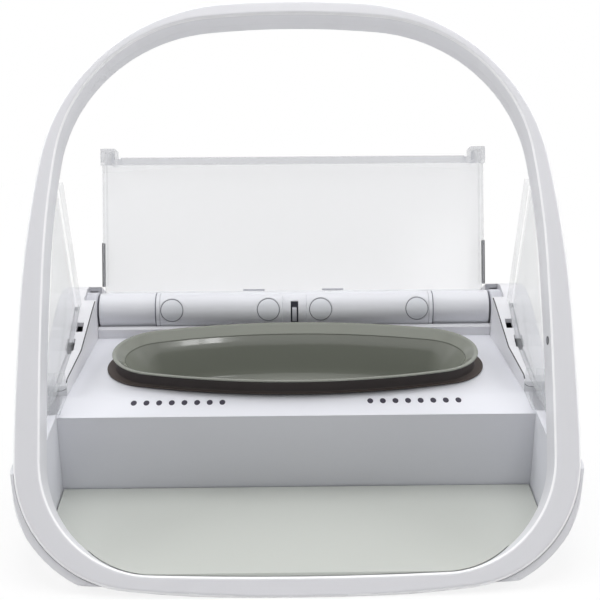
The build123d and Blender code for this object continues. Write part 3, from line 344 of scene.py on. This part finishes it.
# %% Clear finishes
CLEAR_RIM = rgba(168, 171, 178)
RIM_COVER = 0.6
FACING_BLEND = 0.35
BAR_START = 73.1
BAR_FADE = 0.2
BAR_COVER = 0.4
BAR_GREY = 0.55
HAZE_SCALE = 90.0
HAZE_CHANGE = 0.05
WAVE_SCALE = 40.0
WAVE_STRENGTH = 0.15
WAVE_DEPTH = 0.2
CLEAR_EDGE = 0.4


def clear_plastic(name, colour, roughness, alpha, bar=False):
    """Clear moulding: mostly see-through, greyer at grazing angles, on its rims and on its thick bar."""
    finish = Finish(name, IOR=PLASTIC_IOR)
    facing = finish.node("ShaderNodeLayerWeight", {}, {"Blend": FACING_BLEND}, output=1)
    grey = facing * facing
    cover = alpha + grey * (RIM_COVER - alpha)
    if bar:
        thick = finish.ramp(up_the_lid(finish), BAR_START * MM, (BAR_START + BAR_FADE) * MM)
        cover = cover.math("MAXIMUM", thick * BAR_COVER)
        grey = grey.math("MAXIMUM", thick * BAR_GREY)
    finish.set("Base Color", finish.mix(grey, colour, CLEAR_RIM))
    finish.set("Alpha", cover)
    haze = finish.noise(HAZE_SCALE, 3.0)
    finish.set("Roughness", roughness + (haze - 0.5) * HAZE_CHANGE)
    waves = finish.noise(WAVE_SCALE, 2.0)
    finish.set("Normal", finish.bump(waves, WAVE_STRENGTH, WAVE_DEPTH * MM, CLEAR_EDGE))
    return finish


clear = clear_plastic("clear_shield", rgba(240, 243, 244), 0.1, 0.03)
lid_clear = clear_plastic("clear_lid", rgba(238, 239, 244), 0.14, 0.22, bar=True)
print("clear finishes", clear.material.name, lid_clear.material.name)

# %% [markdown]
# Little metal shows: screw heads, pins, the gear plate and the motor, the battery contacts and the copper
# aerial. One fine noise gives each its marks, in colour, roughness and height together, because a scratch
# changes all three.

# %% Metal finishes
MARK_SCALE = 900.0
MARK_TINT = 0.2
MARK_CHANGE = 0.2
MARK_STRENGTH = 0.2
MARK_DEPTH = 0.03
METAL_EDGE = 0.15


def metal(name, colour, roughness):
    """Turned or drawn metal with fine marks."""
    finish = Finish(name, Metallic=1.0)
    marks = finish.noise(MARK_SCALE, 4.0, 0.7)
    finish.set("Base Color", finish.mix(marks, darker(colour, MARK_TINT), colour))
    finish.set("Roughness", roughness + (marks - 0.5) * MARK_CHANGE)
    finish.set("Normal", finish.bump(marks, MARK_STRENGTH, MARK_DEPTH * MM, METAL_EDGE))
    return finish


steel = metal("plain_steel", rgba(190, 190, 192), 0.32)
copper = metal("enamelled_copper", rgba(196, 116, 72), 0.3)
nickel = metal("nickel", rgba(214, 212, 206), 0.22)
print("metal finishes", steel.material.name, copper.material.name, nickel.material.name)

# %% [markdown]
# Now each CAD piece gets its finish. The list is kept by finish and not by piece, so that it is easy to see
# which pieces look alike.

# %% Which piece has which finish
FINISH_OF = {
    hoop_white: ["hoop_front"],
    white: ["hoop_rear", "base_shell", "rear_cover", "side_rail_left", "side_rail_right"],
    deck: ["top_deck"],
    barrel_white: ["lid_carrier"],
    cap_white: ["lid_caps"],
    cover_white: ["battery_cover_left", "battery_cover_right"],
    hub_grey: ["hub_cover_left", "hub_cover_right", "centre_catch"],
    clear: ["side_shield_left", "side_shield_right", "shield_clip_left", "shield_clip_right"],
    lid_clear: ["lid"],
    bowl_glaze: ["bowl"],
    seal_brown: ["bowl_gasket"],
    mat_grey: ["front_mat"],
    dark_rubber: ["lid_edge_seals"],
    smoked: ["sensor_windows"],
    copper: ["antenna_coil"],
    steel: [
        "lid_screws",
        "pivot_pin_left",
        "drive_shaft_right",
        "idler_pin",
        "case_screws",
        "gear_plate",
        "lid_motor",
    ],
    natural: ["shaft_bushes", "lid_gear", "idler_gear", "motor_pinion"],
    board_green: ["main_board", "button_board"],
    black_plastic: ["lid_position_switch"],
    cell_dark: ["battery_cells_left", "battery_cells_right"],
    nickel: ["battery_contacts"],
    button_grey: ["learn_button", "mode_button"],
    feet_black: ["rubber_feet"],
}


def dress(piece, finish):
    """Puts one finish on a whole piece."""
    piece.data.materials.clear()
    piece.data.materials.append(finish.material)


for finish, names in FINISH_OF.items():
    for name in names:
        dress(nodes[name], finish)
bare = sorted(set(nodes) - {name for names in FINISH_OF.values() for name in names})
print("finishes", len(FINISH_OF), "pieces without one", bare)

# %% [markdown]
# Most of the remaining pieces are made from points, so a short helper turns lists of points and faces into
# a piece. It merges doubles, turns every face outwards, gives the finish, says which body the piece rides
# on and hides the CAD nodes it stands for. A second helper lays faces over a row of rings, which is how the
# bowl, its seal and the dark ribbons of painted shade in the rail joints are skinned.

# %% Pieces from points
SAME_PLACE = 1e-6


def register(piece, body, replaced):
    """Says what a piece rides on and hides the CAD nodes it stands for."""
    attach(piece, body)
    if replaced:
        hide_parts(*replaced)


def add_piece(name, points, faces, finish, body, replaced=()):
    """Mesh piece at the origin, from points in metres."""
    shape = bmesh.new()
    corners = [shape.verts.new(point) for point in points]
    for face in faces:
        shape.faces.new([corners[index] for index in face])
    bmesh.ops.remove_doubles(shape, verts=shape.verts, dist=SAME_PLACE)
    bmesh.ops.recalc_face_normals(shape, faces=shape.faces)
    mesh = bpy.data.meshes.new(name)
    shape.to_mesh(mesh)
    shape.free()
    for polygon in mesh.polygons:
        polygon.use_smooth = True
    piece = bpy.data.objects.new(name, mesh)
    scene.collection.objects.link(piece)
    dress(piece, finish)
    register(piece, body, replaced)
    return piece


def skin_faces(rings, around, closed):
    """Faces over rings of points, closed to a loop or with a cap at each end."""
    faces = []
    for ring in range(rings if closed else rings - 1):
        upper = (ring + 1) % rings
        for index in range(around):
            following = (index + 1) % around
            corners = ((ring, index), (ring, following), (upper, following), (upper, index))
            faces.append([level * around + place for level, place in corners])
    if not closed:
        faces += [range(around), range((rings - 1) * around, rings * around)]
    return faces


# %% [markdown]
# The bowl is a long oval dish of polished plastic. Every level of it is the same kind of outline: two round
# ends joined by two very flat arcs. So the dish is a stack of such outlines, from the middle of its floor
# up the inside, over the rim and down the outside. A few levels are named here, each by its half length,
# half depth and height, and a smooth curve through them gives the levels between.

# %% Bowl
BOWL_MIDDLE = -9.4
OVAL_TURN = radians(75.0)
OVAL_STEPS = 30
LEVEL_STEPS = 3
BOWL_INSIDE = (
    (20.0, 4.0, 24.8),
    (56.0, 11.0, 24.9),
    (64.0, 15.6, 25.3),
    (68.6, 19.2, 26.8),
    (71.8, 21.5, 30.0),
    (75.0, 23.3, 37.6),
    (77.6, 25.0, 44.4),
    (79.3, 26.45, 47.9),
)
BOWL_RIM = (
    (79.45, 26.6, 48.25),
    (79.9, 27.1, 48.7),
    (82.9, 30.4, 51.3),
    (83.9, 31.5, 51.85),
    (84.6, 32.3, 51.95),
    (85.0, 32.7, 51.8),
    (85.15, 32.85, 51.5),
    (85.05, 32.75, 51.25),
    (84.7, 32.4, 51.1),
    (83.4, 31.1, 50.6),
)
BOWL_OUTSIDE = (
    (81.5, 28.7, 49.2),
    (80.9, 27.6, 45.7),
    (80.4, 27.0, 43.4),
    (77.5, 25.7, 35.0),
    (74.2, 23.8, 27.0),
    (70.7, 21.2, 23.6),
    (66.0, 17.5, 22.4),
    (20.0, 4.0, 22.4),
)


def arc(centre_x, centre_y, radius, start, stop, steps):
    """Points along an arc, without its last one."""
    angles = [start + (stop - start) * step / steps for step in range(steps)]
    return [(centre_x + radius * cos(angle), centre_y + radius * sin(angle)) for angle in angles]


def oval_points(half_x, half_y):
    """Points round an oval with round ends and flat sides, once round."""
    turn = OVAL_TURN
    spread = (1 - cos(turn)) * (1 - sin(turn)) - cos(turn) * sin(turn)
    end = (half_x * (1 - sin(turn)) - half_y * cos(turn)) / spread
    side = (half_y * (1 - cos(turn)) - half_x * sin(turn)) / spread
    quarter = arc(half_x - end, 0.0, end, 0.0, turn, OVAL_STEPS)
    quarter += arc(0.0, half_y - side, side, turn, pi / 2, OVAL_STEPS // 2)
    half = quarter + [(0.0, half_y)] + [(-x, y) for x, y in quarter[:0:-1]]
    return half + [(-x, -y) for x, y in half]


def smooth_levels(keys):
    """Levels on a smooth curve through the given ones."""
    levels = []
    for index in range(len(keys) - 1):
        before = Vector(keys[max(index - 1, 0)])
        start, stop = Vector(keys[index]), Vector(keys[index + 1])
        after = Vector(keys[min(index + 2, len(keys) - 1)])
        leave = (stop - before) * 0.5
        arrive = (after - start) * 0.5
        for step in range(LEVEL_STEPS):
            t = step / LEVEL_STEPS
            levels.append(
                start * (2 * t**3 - 3 * t**2 + 1)
                + leave * (t**3 - 2 * t**2 + t)
                + stop * (3 * t**2 - 2 * t**3)
                + arrive * (t**3 - t**2)
            )
    levels.append(Vector(keys[-1]))
    return levels


def oval_stack(levels, closed):
    """Points and faces of a skin over levels of (half length, half depth, height) in millimetres."""
    points = []
    for half_x, half_y, height in levels:
        ring = oval_points(half_x, half_y)
        points += [(x * MM, (y + BOWL_MIDDLE) * MM, height * MM) for x, y in ring]
    return points, skin_faces(len(levels), len(points) // len(levels), closed)


bowl_levels = smooth_levels(BOWL_INSIDE + BOWL_RIM + BOWL_OUTSIDE)
points, faces = oval_stack(bowl_levels, False)
bowl = add_piece("dish", points, faces, bowl_glaze, "bowl_assembly", ["bowl"])
print("bowl", len(bowl_levels), "levels", len(bowl.data.polygons), "faces")

# %% [markdown]
# Under the rim sits a dark rubber seal. Its thin lip lies on the shelf, and a sleeve grips the bowl and
# runs up to its rim, so its section is a small hook, and the same skin over oval levels makes it, closed on
# itself this time. The sleeve is painted darker brown as the shade under the rim.

# %% Seal under the bowl
SEAL_SECTION = (
    (81.35, 28.05, 43.85),
    (87.2, 29.8, 43.83),
    (87.75, 30.25, 43.95),
    (87.8, 30.3, 44.35),
    (87.4, 30.1, 44.7),
    (84.4, 29.75, 44.8),
    (83.8, 29.55, 45.1),
    (83.6, 29.5, 45.8),
    (83.7, 30.3, 49.4),
    (83.5, 30.3, 49.9),
    (82.9, 29.8, 50.1),
    (82.2, 29.2, 49.8),
    (82.0, 28.5, 46.4),
    (81.4, 28.1, 46.0),
)
points, faces = oval_stack([Vector(level) for level in SEAL_SECTION], True)
seal = add_piece("bowl_seal", points, faces, seal_brown, "bowl_assembly", ["bowl_gasket"])
print("seal", len(seal.data.polygons), "faces")

# %% [markdown]
# The mat in the tray is a sheet of soft pale rubber that lies loose on the tray's floor. The CAD gives its
# outline, cut to the curve of the hoop. A copy of that sheet gets its flat faces joined, and a Bevel
# modifier rolls its edge over.

# %% Tray mat
MERGE_WITHIN = 0.02
FLAT_WITHIN = radians(1.0)
SHARP_FROM = radians(35.0)
BEVEL_STEPS = 3
MAT_EDGE = 0.45


def copy_of_node(name, node, finish, body):
    """Clean copy of a CAD node, with its triangles joined into flat faces."""
    shape = bmesh.new()
    shape.from_mesh(nodes[node].data)
    bmesh.ops.remove_doubles(shape, verts=shape.verts, dist=MERGE_WITHIN * MM)
    bmesh.ops.dissolve_limit(
        shape, angle_limit=FLAT_WITHIN, verts=shape.verts, edges=shape.edges, delimit={"NORMAL"}
    )
    shape.verts.index_update()
    points = [vertex.co.copy() for vertex in shape.verts]
    faces = [[vertex.index for vertex in face.verts] for face in shape.faces]
    shape.free()
    return add_piece(name, points, faces, finish, body, [node])


def roll_edges(piece, width):
    """Bevel modifier that rounds a piece's sharp edges."""
    bevel = piece.modifiers.new("bevel", "BEVEL")
    bevel.width = width * MM
    bevel.segments = BEVEL_STEPS
    bevel.limit_method = "ANGLE"
    bevel.angle_limit = SHARP_FROM
    bevel.harden_normals = True


mat = copy_of_node("tray_mat", "front_mat", mat_grey, "base")
roll_edges(mat, MAT_EDGE)
print("mat", len(mat.data.polygons), "faces before its edge is rolled")

# %% [markdown]
# Two short dark strips of soft rubber close the gap between the lower part of the lid and the side rails.
# They are copies of the CAD strips with a rolled edge.

# %% Strips at the lid's edges
STRIP_EDGE = 0.3

strips = copy_of_node("edge_strips", "lid_edge_seals", dark_rubber, "lid_assembly")
roll_edges(strips, STRIP_EDGE)
print("strips", len(strips.data.polygons), "faces")

# %% [markdown]
# A fine joint runs along the inner top edge of each side rail, from the lid's hub forwards, and turns
# outwards at the rail's front end. The shade in it is painted as a narrow dark ribbon. Its path is known
# from above, and its height is found by looking straight down on the rail at every place.

# %% Painted shade in the joints along the rails
JOINT_PATH = ((97.35, 30.0), (97.35, 24.5), (99.8, -9.0), (102.15, -37.3), (104.0, -37.5), (107.0, -37.5))
JOINT_WIDTH = 0.5
JOINT_STEP = 1.5
JOINT_CORNERS = ((-1, -0.1), (-1, 0.12), (1, 0.12), (1, -0.1))
LOOK_ASIDE = 0.2
LOOK_FROM = 200.0


def height_on(name, x, y):
    """Height of a CAD node's top at a place seen from above, in metres."""
    place = nodes[name].ray_cast(Vector((x, y, LOOK_FROM * MM)), Vector((0.0, 0.0, -1.0)))[1]
    return place.z


def joint_places(side):
    """Centre line of the joint on one side, at even steps."""
    places = []
    for (x0, y0), (x1, y1) in zip(JOINT_PATH, JOINT_PATH[1:]):
        steps = max(1, round(sqrt((x1 - x0) ** 2 + (y1 - y0) ** 2) / JOINT_STEP))
        places += [(x0 + (x1 - x0) * k / steps, y0 + (y1 - y0) * k / steps) for k in range(steps)]
    places.append(JOINT_PATH[-1])
    return [(side * x * MM, y * MM) for x, y in places]


def ribbon(path, side, rail):
    """Corners of a narrow ribbon that lies on a rail, four to each place of its path."""
    points = []
    for index, (x, y) in enumerate(path):
        before, after = path[max(index - 1, 0)], path[min(index + 1, len(path) - 1)]
        along = Vector((after[0] - before[0], after[1] - before[1])).normalized() * (JOINT_WIDTH / 2 * MM)
        inner = Vector((x + side * JOINT_WIDTH / 2 * MM, y))
        level = height_on(rail, inner.x + side * LOOK_ASIDE * MM, inner.y)
        for hand, lift in JOINT_CORNERS:
            points.append((inner.x + hand * along.y, inner.y - hand * along.x, level + lift * MM))
    return points


for side, hand in ((-1, "left"), (1, "right")):
    path = joint_places(side)
    points = ribbon(path, side, "side_rail_" + hand)
    faces = skin_faces(len(path), len(JOINT_CORNERS), False)
    # Painted shade: a narrow dark ribbon in the joint along the rail.
    joint = add_piece("rail_joint_shade_" + hand, points, faces, dark_rubber, "base")
    print(joint.name, len(joint.data.polygons), "faces")

# %% [markdown]
# What repeats is made by Geometry Nodes. The next helper builds one tree for everything of this kind: a row
# of points, a small shape on each point, Realize Instances and Set Material. Its sizes are named inputs of
# the tree. The result is then turned into a plain mesh, because the exported model holds no instances.


# %% Repeats by Geometry Nodes
class Repeat:
    """A Geometry Nodes tree with named inputs that is turned into a plain piece."""

    def __init__(self, name):
        self.tree = bpy.data.node_groups.new(name, "GeometryNodeTree")
        self.tree.interface.new_socket("Geometry", in_out="OUTPUT", socket_type="NodeSocketGeometry")
        self.outside = self.tree.nodes.new("NodeGroupInput")
        self.values = {}
        self.name = name

    def size(self, name, value, kind="NodeSocketFloat"):
        """Named input and the wire that carries it."""
        socket = self.tree.interface.new_socket(name, in_out="INPUT", socket_type=kind)
        self.values[socket.identifier] = value
        return self.outside.outputs[name]

    def node(self, kind, inputs):
        """Node of any kind, with the values or wires of its sockets; returns its first output."""
        made = self.tree.nodes.new(kind)
        for key, value in inputs.items():
            if isinstance(value, bpy.types.NodeSocket):
                self.tree.links.new(value, made.inputs[key])
            else:
                made.inputs[key].default_value = value
        return made.outputs[0]

    def join(self, *parts):
        """Joins several geometries."""
        joined = self.tree.nodes.new("GeometryNodeJoinGeometry")
        for part in parts:
            self.tree.links.new(part, joined.inputs[0])
        return joined.outputs[0]

    def piece(self, geometry, finish, body, slot):
        """Ends the tree, evaluates it and returns a plain mesh piece."""
        real = self.node("GeometryNodeRealizeInstances", {0: geometry})
        flat = self.node("GeometryNodeSetShadeSmooth", {"Geometry": real, "Shade Smooth": False})
        done = self.node("GeometryNodeSetMaterial", {"Geometry": flat, "Material": finish.material})
        end = self.tree.nodes.new("NodeGroupOutput")
        self.tree.links.new(done, end.inputs[0])
        holder = bpy.data.objects.new(self.name + "_maker", bpy.data.meshes.new(self.name + "_maker"))
        scene.collection.objects.link(holder)
        modifier = holder.modifiers.new("repeat", "NODES")
        modifier.node_group = self.tree
        for identifier, value in self.values.items():
            modifier[identifier] = value
        graph = bpy.context.evaluated_depsgraph_get()
        mesh = bpy.data.meshes.new_from_object(holder.evaluated_get(graph))
        mesh.name = self.name
        bpy.data.objects.remove(holder)
        made = bpy.data.objects.new(self.name, mesh)
        scene.collection.objects.link(made)
        dress(made, finish)
        register(made, body, ())
        return made


# %% [markdown]
# Two rows of eight small holes in the shelf let sound out of the housing. They are dark inside, and that
# shade is painted: a dark oval disc sits just under the surface in each hole. One Mesh Line gives the row,
# a low cylinder stands on each point, and the second row is the first one mirrored.

# %% Dark discs of painted shade in the shelf's holes
VENT_FIRST = 32.6
VENT_PITCH = 5.57
VENT_COUNT = 8
VENT_ROW = -44.9
VENT_HALF = (1.3, 2.1)
VENT_SIDES = 24
DISC_THICK = 0.3
DISC_SINK = 0.35
SHELF_TOP = 43.5
SHELF_CREASE = -40.2
NOSE_SLOPE = atan2(1.3, 16.3)

# Painted shade: the dark inside of each hole is a dark disc.
hole_shade_dark = moulded("hole_shade", rgba(60, 57, 68), 0.7, edge=0.1, tint=0.25)
repeat = Repeat("shelf_hole_shade")
first = repeat.size("First", VENT_FIRST * MM)
pitch = repeat.size("Pitch", VENT_PITCH * MM)
count = repeat.size("Count", VENT_COUNT, "NodeSocketInt")
radius = repeat.size("Radius", VENT_HALF[0] * MM)
nose_level = SHELF_TOP + (VENT_ROW - SHELF_CREASE) * tan(NOSE_SLOPE)
level = (nose_level - DISC_THICK * DISC_SINK) * MM
stretch = (1.0, VENT_HALF[1] / VENT_HALF[0], 1.0)
start = repeat.node("ShaderNodeCombineXYZ", {0: first, 1: VENT_ROW * MM, 2: level})
step = repeat.node("ShaderNodeCombineXYZ", {0: pitch})
row = repeat.node("GeometryNodeMeshLine", {"Count": count, "Start Location": start, "Offset": step})
size = {"Vertices": VENT_SIDES, "Radius": radius, "Depth": DISC_THICK * MM}
disc = repeat.node("GeometryNodeMeshCylinder", size)
oval = repeat.node("GeometryNodeTransform", {"Geometry": disc, "Scale": stretch})
tilted = repeat.node("GeometryNodeTransform", {"Geometry": oval, "Rotation": (NOSE_SLOPE, 0.0, 0.0)})
discs = repeat.node("GeometryNodeInstanceOnPoints", {"Points": row, "Instance": tilted})
real = repeat.node("GeometryNodeRealizeInstances", {0: discs})
mirrored = repeat.node("GeometryNodeTransform", {"Geometry": real, "Scale": (-1.0, 1.0, 1.0)})
other = repeat.node("GeometryNodeFlipFaces", {0: mirrored})
hole_shade = repeat.piece(repeat.join(real, other), hole_shade_dark, "base", "switch_plastic")
print("hole_shade", len(hole_shade.data.polygons), "faces")

# %% [markdown]
# Each battery cover has a row of short ribs for the thumb, near its rear edge. A Mesh Line gives the row,
# and a low bar stands on each point. The ribs ride on the cover, so they go with it when it comes off.

# %% Ribs on the battery covers
RIB_COUNT = 6
RIB_PITCH = 2.4
RIB_FIRST = 66.0
RIB_SIZE = (22.0, 1.0, 0.5)
RIB_SINK = 0.1
COVER_MIDDLE = 69.0
COVER_UNDERSIDE = 0.8

for side, hand in ((-1, "left"), (1, "right")):
    repeat = Repeat("cover_ribs_" + hand)
    count = repeat.size("Count", RIB_COUNT, "NodeSocketInt")
    pitch = repeat.size("Pitch", RIB_PITCH * MM)
    start = repeat.size("Start", RIB_FIRST * MM)
    middle = repeat.size("Middle", side * COVER_MIDDLE * MM)
    level = (COVER_UNDERSIDE - RIB_SINK) * MM
    first = repeat.node("ShaderNodeCombineXYZ", {0: middle, 1: start, 2: level})
    step = repeat.node("ShaderNodeCombineXYZ", {1: pitch})
    row = repeat.node("GeometryNodeMeshLine", {"Count": count, "Start Location": first, "Offset": step})
    bar = repeat.node("GeometryNodeMeshCube", {"Size": tuple(value * MM for value in RIB_SIZE)})
    bars = repeat.node("GeometryNodeInstanceOnPoints", {"Points": row, "Instance": bar})
    ribs = repeat.piece(bars, cover_white, "cover_" + hand, "white_plastic")
    print(ribs.name, len(ribs.data.polygons), "faces")

# %% [markdown]
# Four round rubber feet stand in shallow pockets under the housing. Each one is turned from a short
# section: flat where it stands, with a rounded edge and a hollow in the middle that grips like a sucker.

# %% Feet
FOOT_PLACES = ((-75.0, -75.0), (75.0, -75.0), (-60.0, 100.0), (60.0, 100.0))
FOOT_SECTION = (
    (0.0, 1.8),
    (5.9, 1.8),
    (5.95, 0.6),
    (5.7, 0.15),
    (5.2, 0.0),
    (4.2, 0.0),
    (3.6, 0.35),
    (0.0, 0.4),
)
FOOT_STEPS = 32


def turned(section, place, steps):
    """Points and faces of a section of (radius, height) in millimetres, turned about an upright line."""
    size = len(section)
    points, faces = [], []
    for step in range(steps):
        angle = 2 * pi * step / steps
        for away, height in section:
            x, y = place[0] + away * cos(angle), place[1] + away * sin(angle)
            points.append((x * MM, y * MM, height * MM))
        here, there = step * size, (step + 1) % steps * size
        for index in range(size - 1):
            corners = [here + index, here + index + 1, there + index + 1, there + index]
            if section[index][0] == 0.0:
                corners = corners[:3]
            if section[index + 1][0] == 0.0:
                corners = [corners[0], corners[1], corners[3]]
            faces.append(corners)
    return points, faces


foot_points, foot_faces = [], []
for place in FOOT_PLACES:
    points, faces = turned(FOOT_SECTION, place, FOOT_STEPS)
    foot_faces += [[index + len(foot_points) for index in face] for face in faces]
    foot_points += points
feet = add_piece("foot_discs", foot_points, foot_faces, feet_black, "base", ["rubber_feet"])
print("feet", len(feet.data.polygons), "faces")

# %% [markdown]
# The floor is a large pale sheet that keeps the feeder's soft shadow. A photograph for a shop has no
# horizon, so to the camera the floor fades into plain white away from the feeder: a Mix Shader blends the
# matte floor with a white glow, by the distance from the middle and only for the camera's own rays.

# %% Floor
FLOOR_HALF = 6.0
FLOOR_GREY = (0.9, 0.9, 0.9, 1.0)
FLOOR_ROUGHNESS = 0.9
FADE_REACH = (0.1, 0.5)
FADE_SHARE = (0.82, 1.0)
PURE_WHITE = (1.0, 1.0, 1.0, 1.0)

mesh = bpy.data.meshes.new("floor")
corners = [(x * FLOOR_HALF, y * FLOOR_HALF, 0.0) for x, y in ((-1, -1), (1, -1), (1, 1), (-1, 1))]
mesh.from_pydata(corners, [], [(0, 1, 2, 3)])
floor = bpy.data.objects.new("floor", mesh)
scene.collection.objects.link(floor)
finish = Finish("floor_white", Base_Color=FLOOR_GREY, Roughness=FLOOR_ROUGHNESS)
seen = finish.node("ShaderNodeLightPath")
far = finish.node("ShaderNodeVectorMath", {"operation": "LENGTH"}, [finish.place()], output=1)
away = finish.ramp(far, *FADE_REACH, *FADE_SHARE)
glow = finish.node("ShaderNodeEmission", {}, {"Color": PURE_WHITE, "Strength": 1.0})
matte = Wire(finish, finish.shader.outputs[0])
blend = finish.node("ShaderNodeMixShader", {}, [seen * away, matte, glow])
finish.tree.links.new(blend.socket, finish.tree.nodes["Material Output"].inputs["Surface"])
dress(floor, finish)
print("floor", 2 * FLOOR_HALF, "m wide")

# %% [markdown]
# The light is that of a white studio: a large lamp overhead, one on each side, one behind and a weak one in
# front. The strengths were found by rendering each lamp alone and comparing the sum with the photograph.
# Polished faces mirror only the white surroundings and two window panes at the front, which give the bowl
# its small bright marks. The surroundings are white to the camera, in mirrors and through clear plastic,
# and shed only a weak light on everything else.

# %% Light
MIDDLE = (0.0, 0.0, 0.08)
LAMPS = {
    "overhead": ((0.0, 0.0, 0.95), 0.7, 5.6),
    "front": ((0.0, -1.5, 0.9), 1.0, 2.3),
    "behind": ((0.0, 0.9, 1.2), 1.2, 4.5),
    "left": ((-1.2, 0.1, 0.7), 0.9, 8.8),
    "right": ((1.2, 0.1, 0.7), 0.9, 8.8),
}
PANES = {"pane_0": (0.225, -1.05, 0.5), "pane_1": (0.285, -1.03, 0.5)}
PANE_TARGET = (0.0, 0.0, 0.05)
PANE_WIDTH = 0.045
PANE_HEIGHT = 0.2
PANE_POWER = 0.25
SKY_COLOUR = (0.96, 0.97, 1.0, 1.0)
SKY_STRENGTH = 0.05


def add_lamp(name, place, target, width, power, height=None):
    """Round area lamp that nothing mirrors or, with a height, a window pane that is mirrored."""
    data = bpy.data.lights.new(name, "AREA")
    data.shape = "RECTANGLE" if height else "DISK"
    data.size = width
    data.size_y = height or width
    data.energy = power
    lamp = bpy.data.objects.new(name, data)
    scene.collection.objects.link(lamp)
    aim = (Vector(target) - Vector(place)).to_track_quat("-Z", "Y")
    lamp.matrix_world = Matrix.Translation(place) @ aim.to_matrix().to_4x4()
    lamp.visible_glossy = bool(height)


def add_sky():
    """Surroundings that are white where they are seen and weak where they only light."""
    world = bpy.data.worlds.new("studio")
    world.use_nodes = True
    scene.world = world
    tree = world.node_tree
    weak = tree.nodes["Background"]
    weak.inputs["Color"].default_value = SKY_COLOUR
    weak.inputs["Strength"].default_value = SKY_STRENGTH
    white_sky = tree.nodes.new("ShaderNodeBackground")
    white_sky.inputs["Color"].default_value = PURE_WHITE
    path = tree.nodes.new("ShaderNodeLightPath")
    seen = path.outputs["Is Camera Ray"]
    for ray in ("Is Transmission Ray", "Is Glossy Ray"):
        either = tree.nodes.new("ShaderNodeMath")
        either.operation = "MAXIMUM"
        tree.links.new(seen, either.inputs[0])
        tree.links.new(path.outputs[ray], either.inputs[1])
        seen = either.outputs[0]
    blend = tree.nodes.new("ShaderNodeMixShader")
    for index, socket in enumerate((seen, weak.outputs[0], white_sky.outputs[0])):
        tree.links.new(socket, blend.inputs[index])
    tree.links.new(blend.outputs[0], tree.nodes["World Output"].inputs["Surface"])


add_sky()
for name, (place, width, power) in LAMPS.items():
    add_lamp(name, place, MIDDLE, width, power)
for name, place in PANES.items():
    add_lamp(name, place, PANE_TARGET, PANE_WIDTH, PANE_POWER, PANE_HEIGHT)
scene.view_settings.view_transform = "Standard"
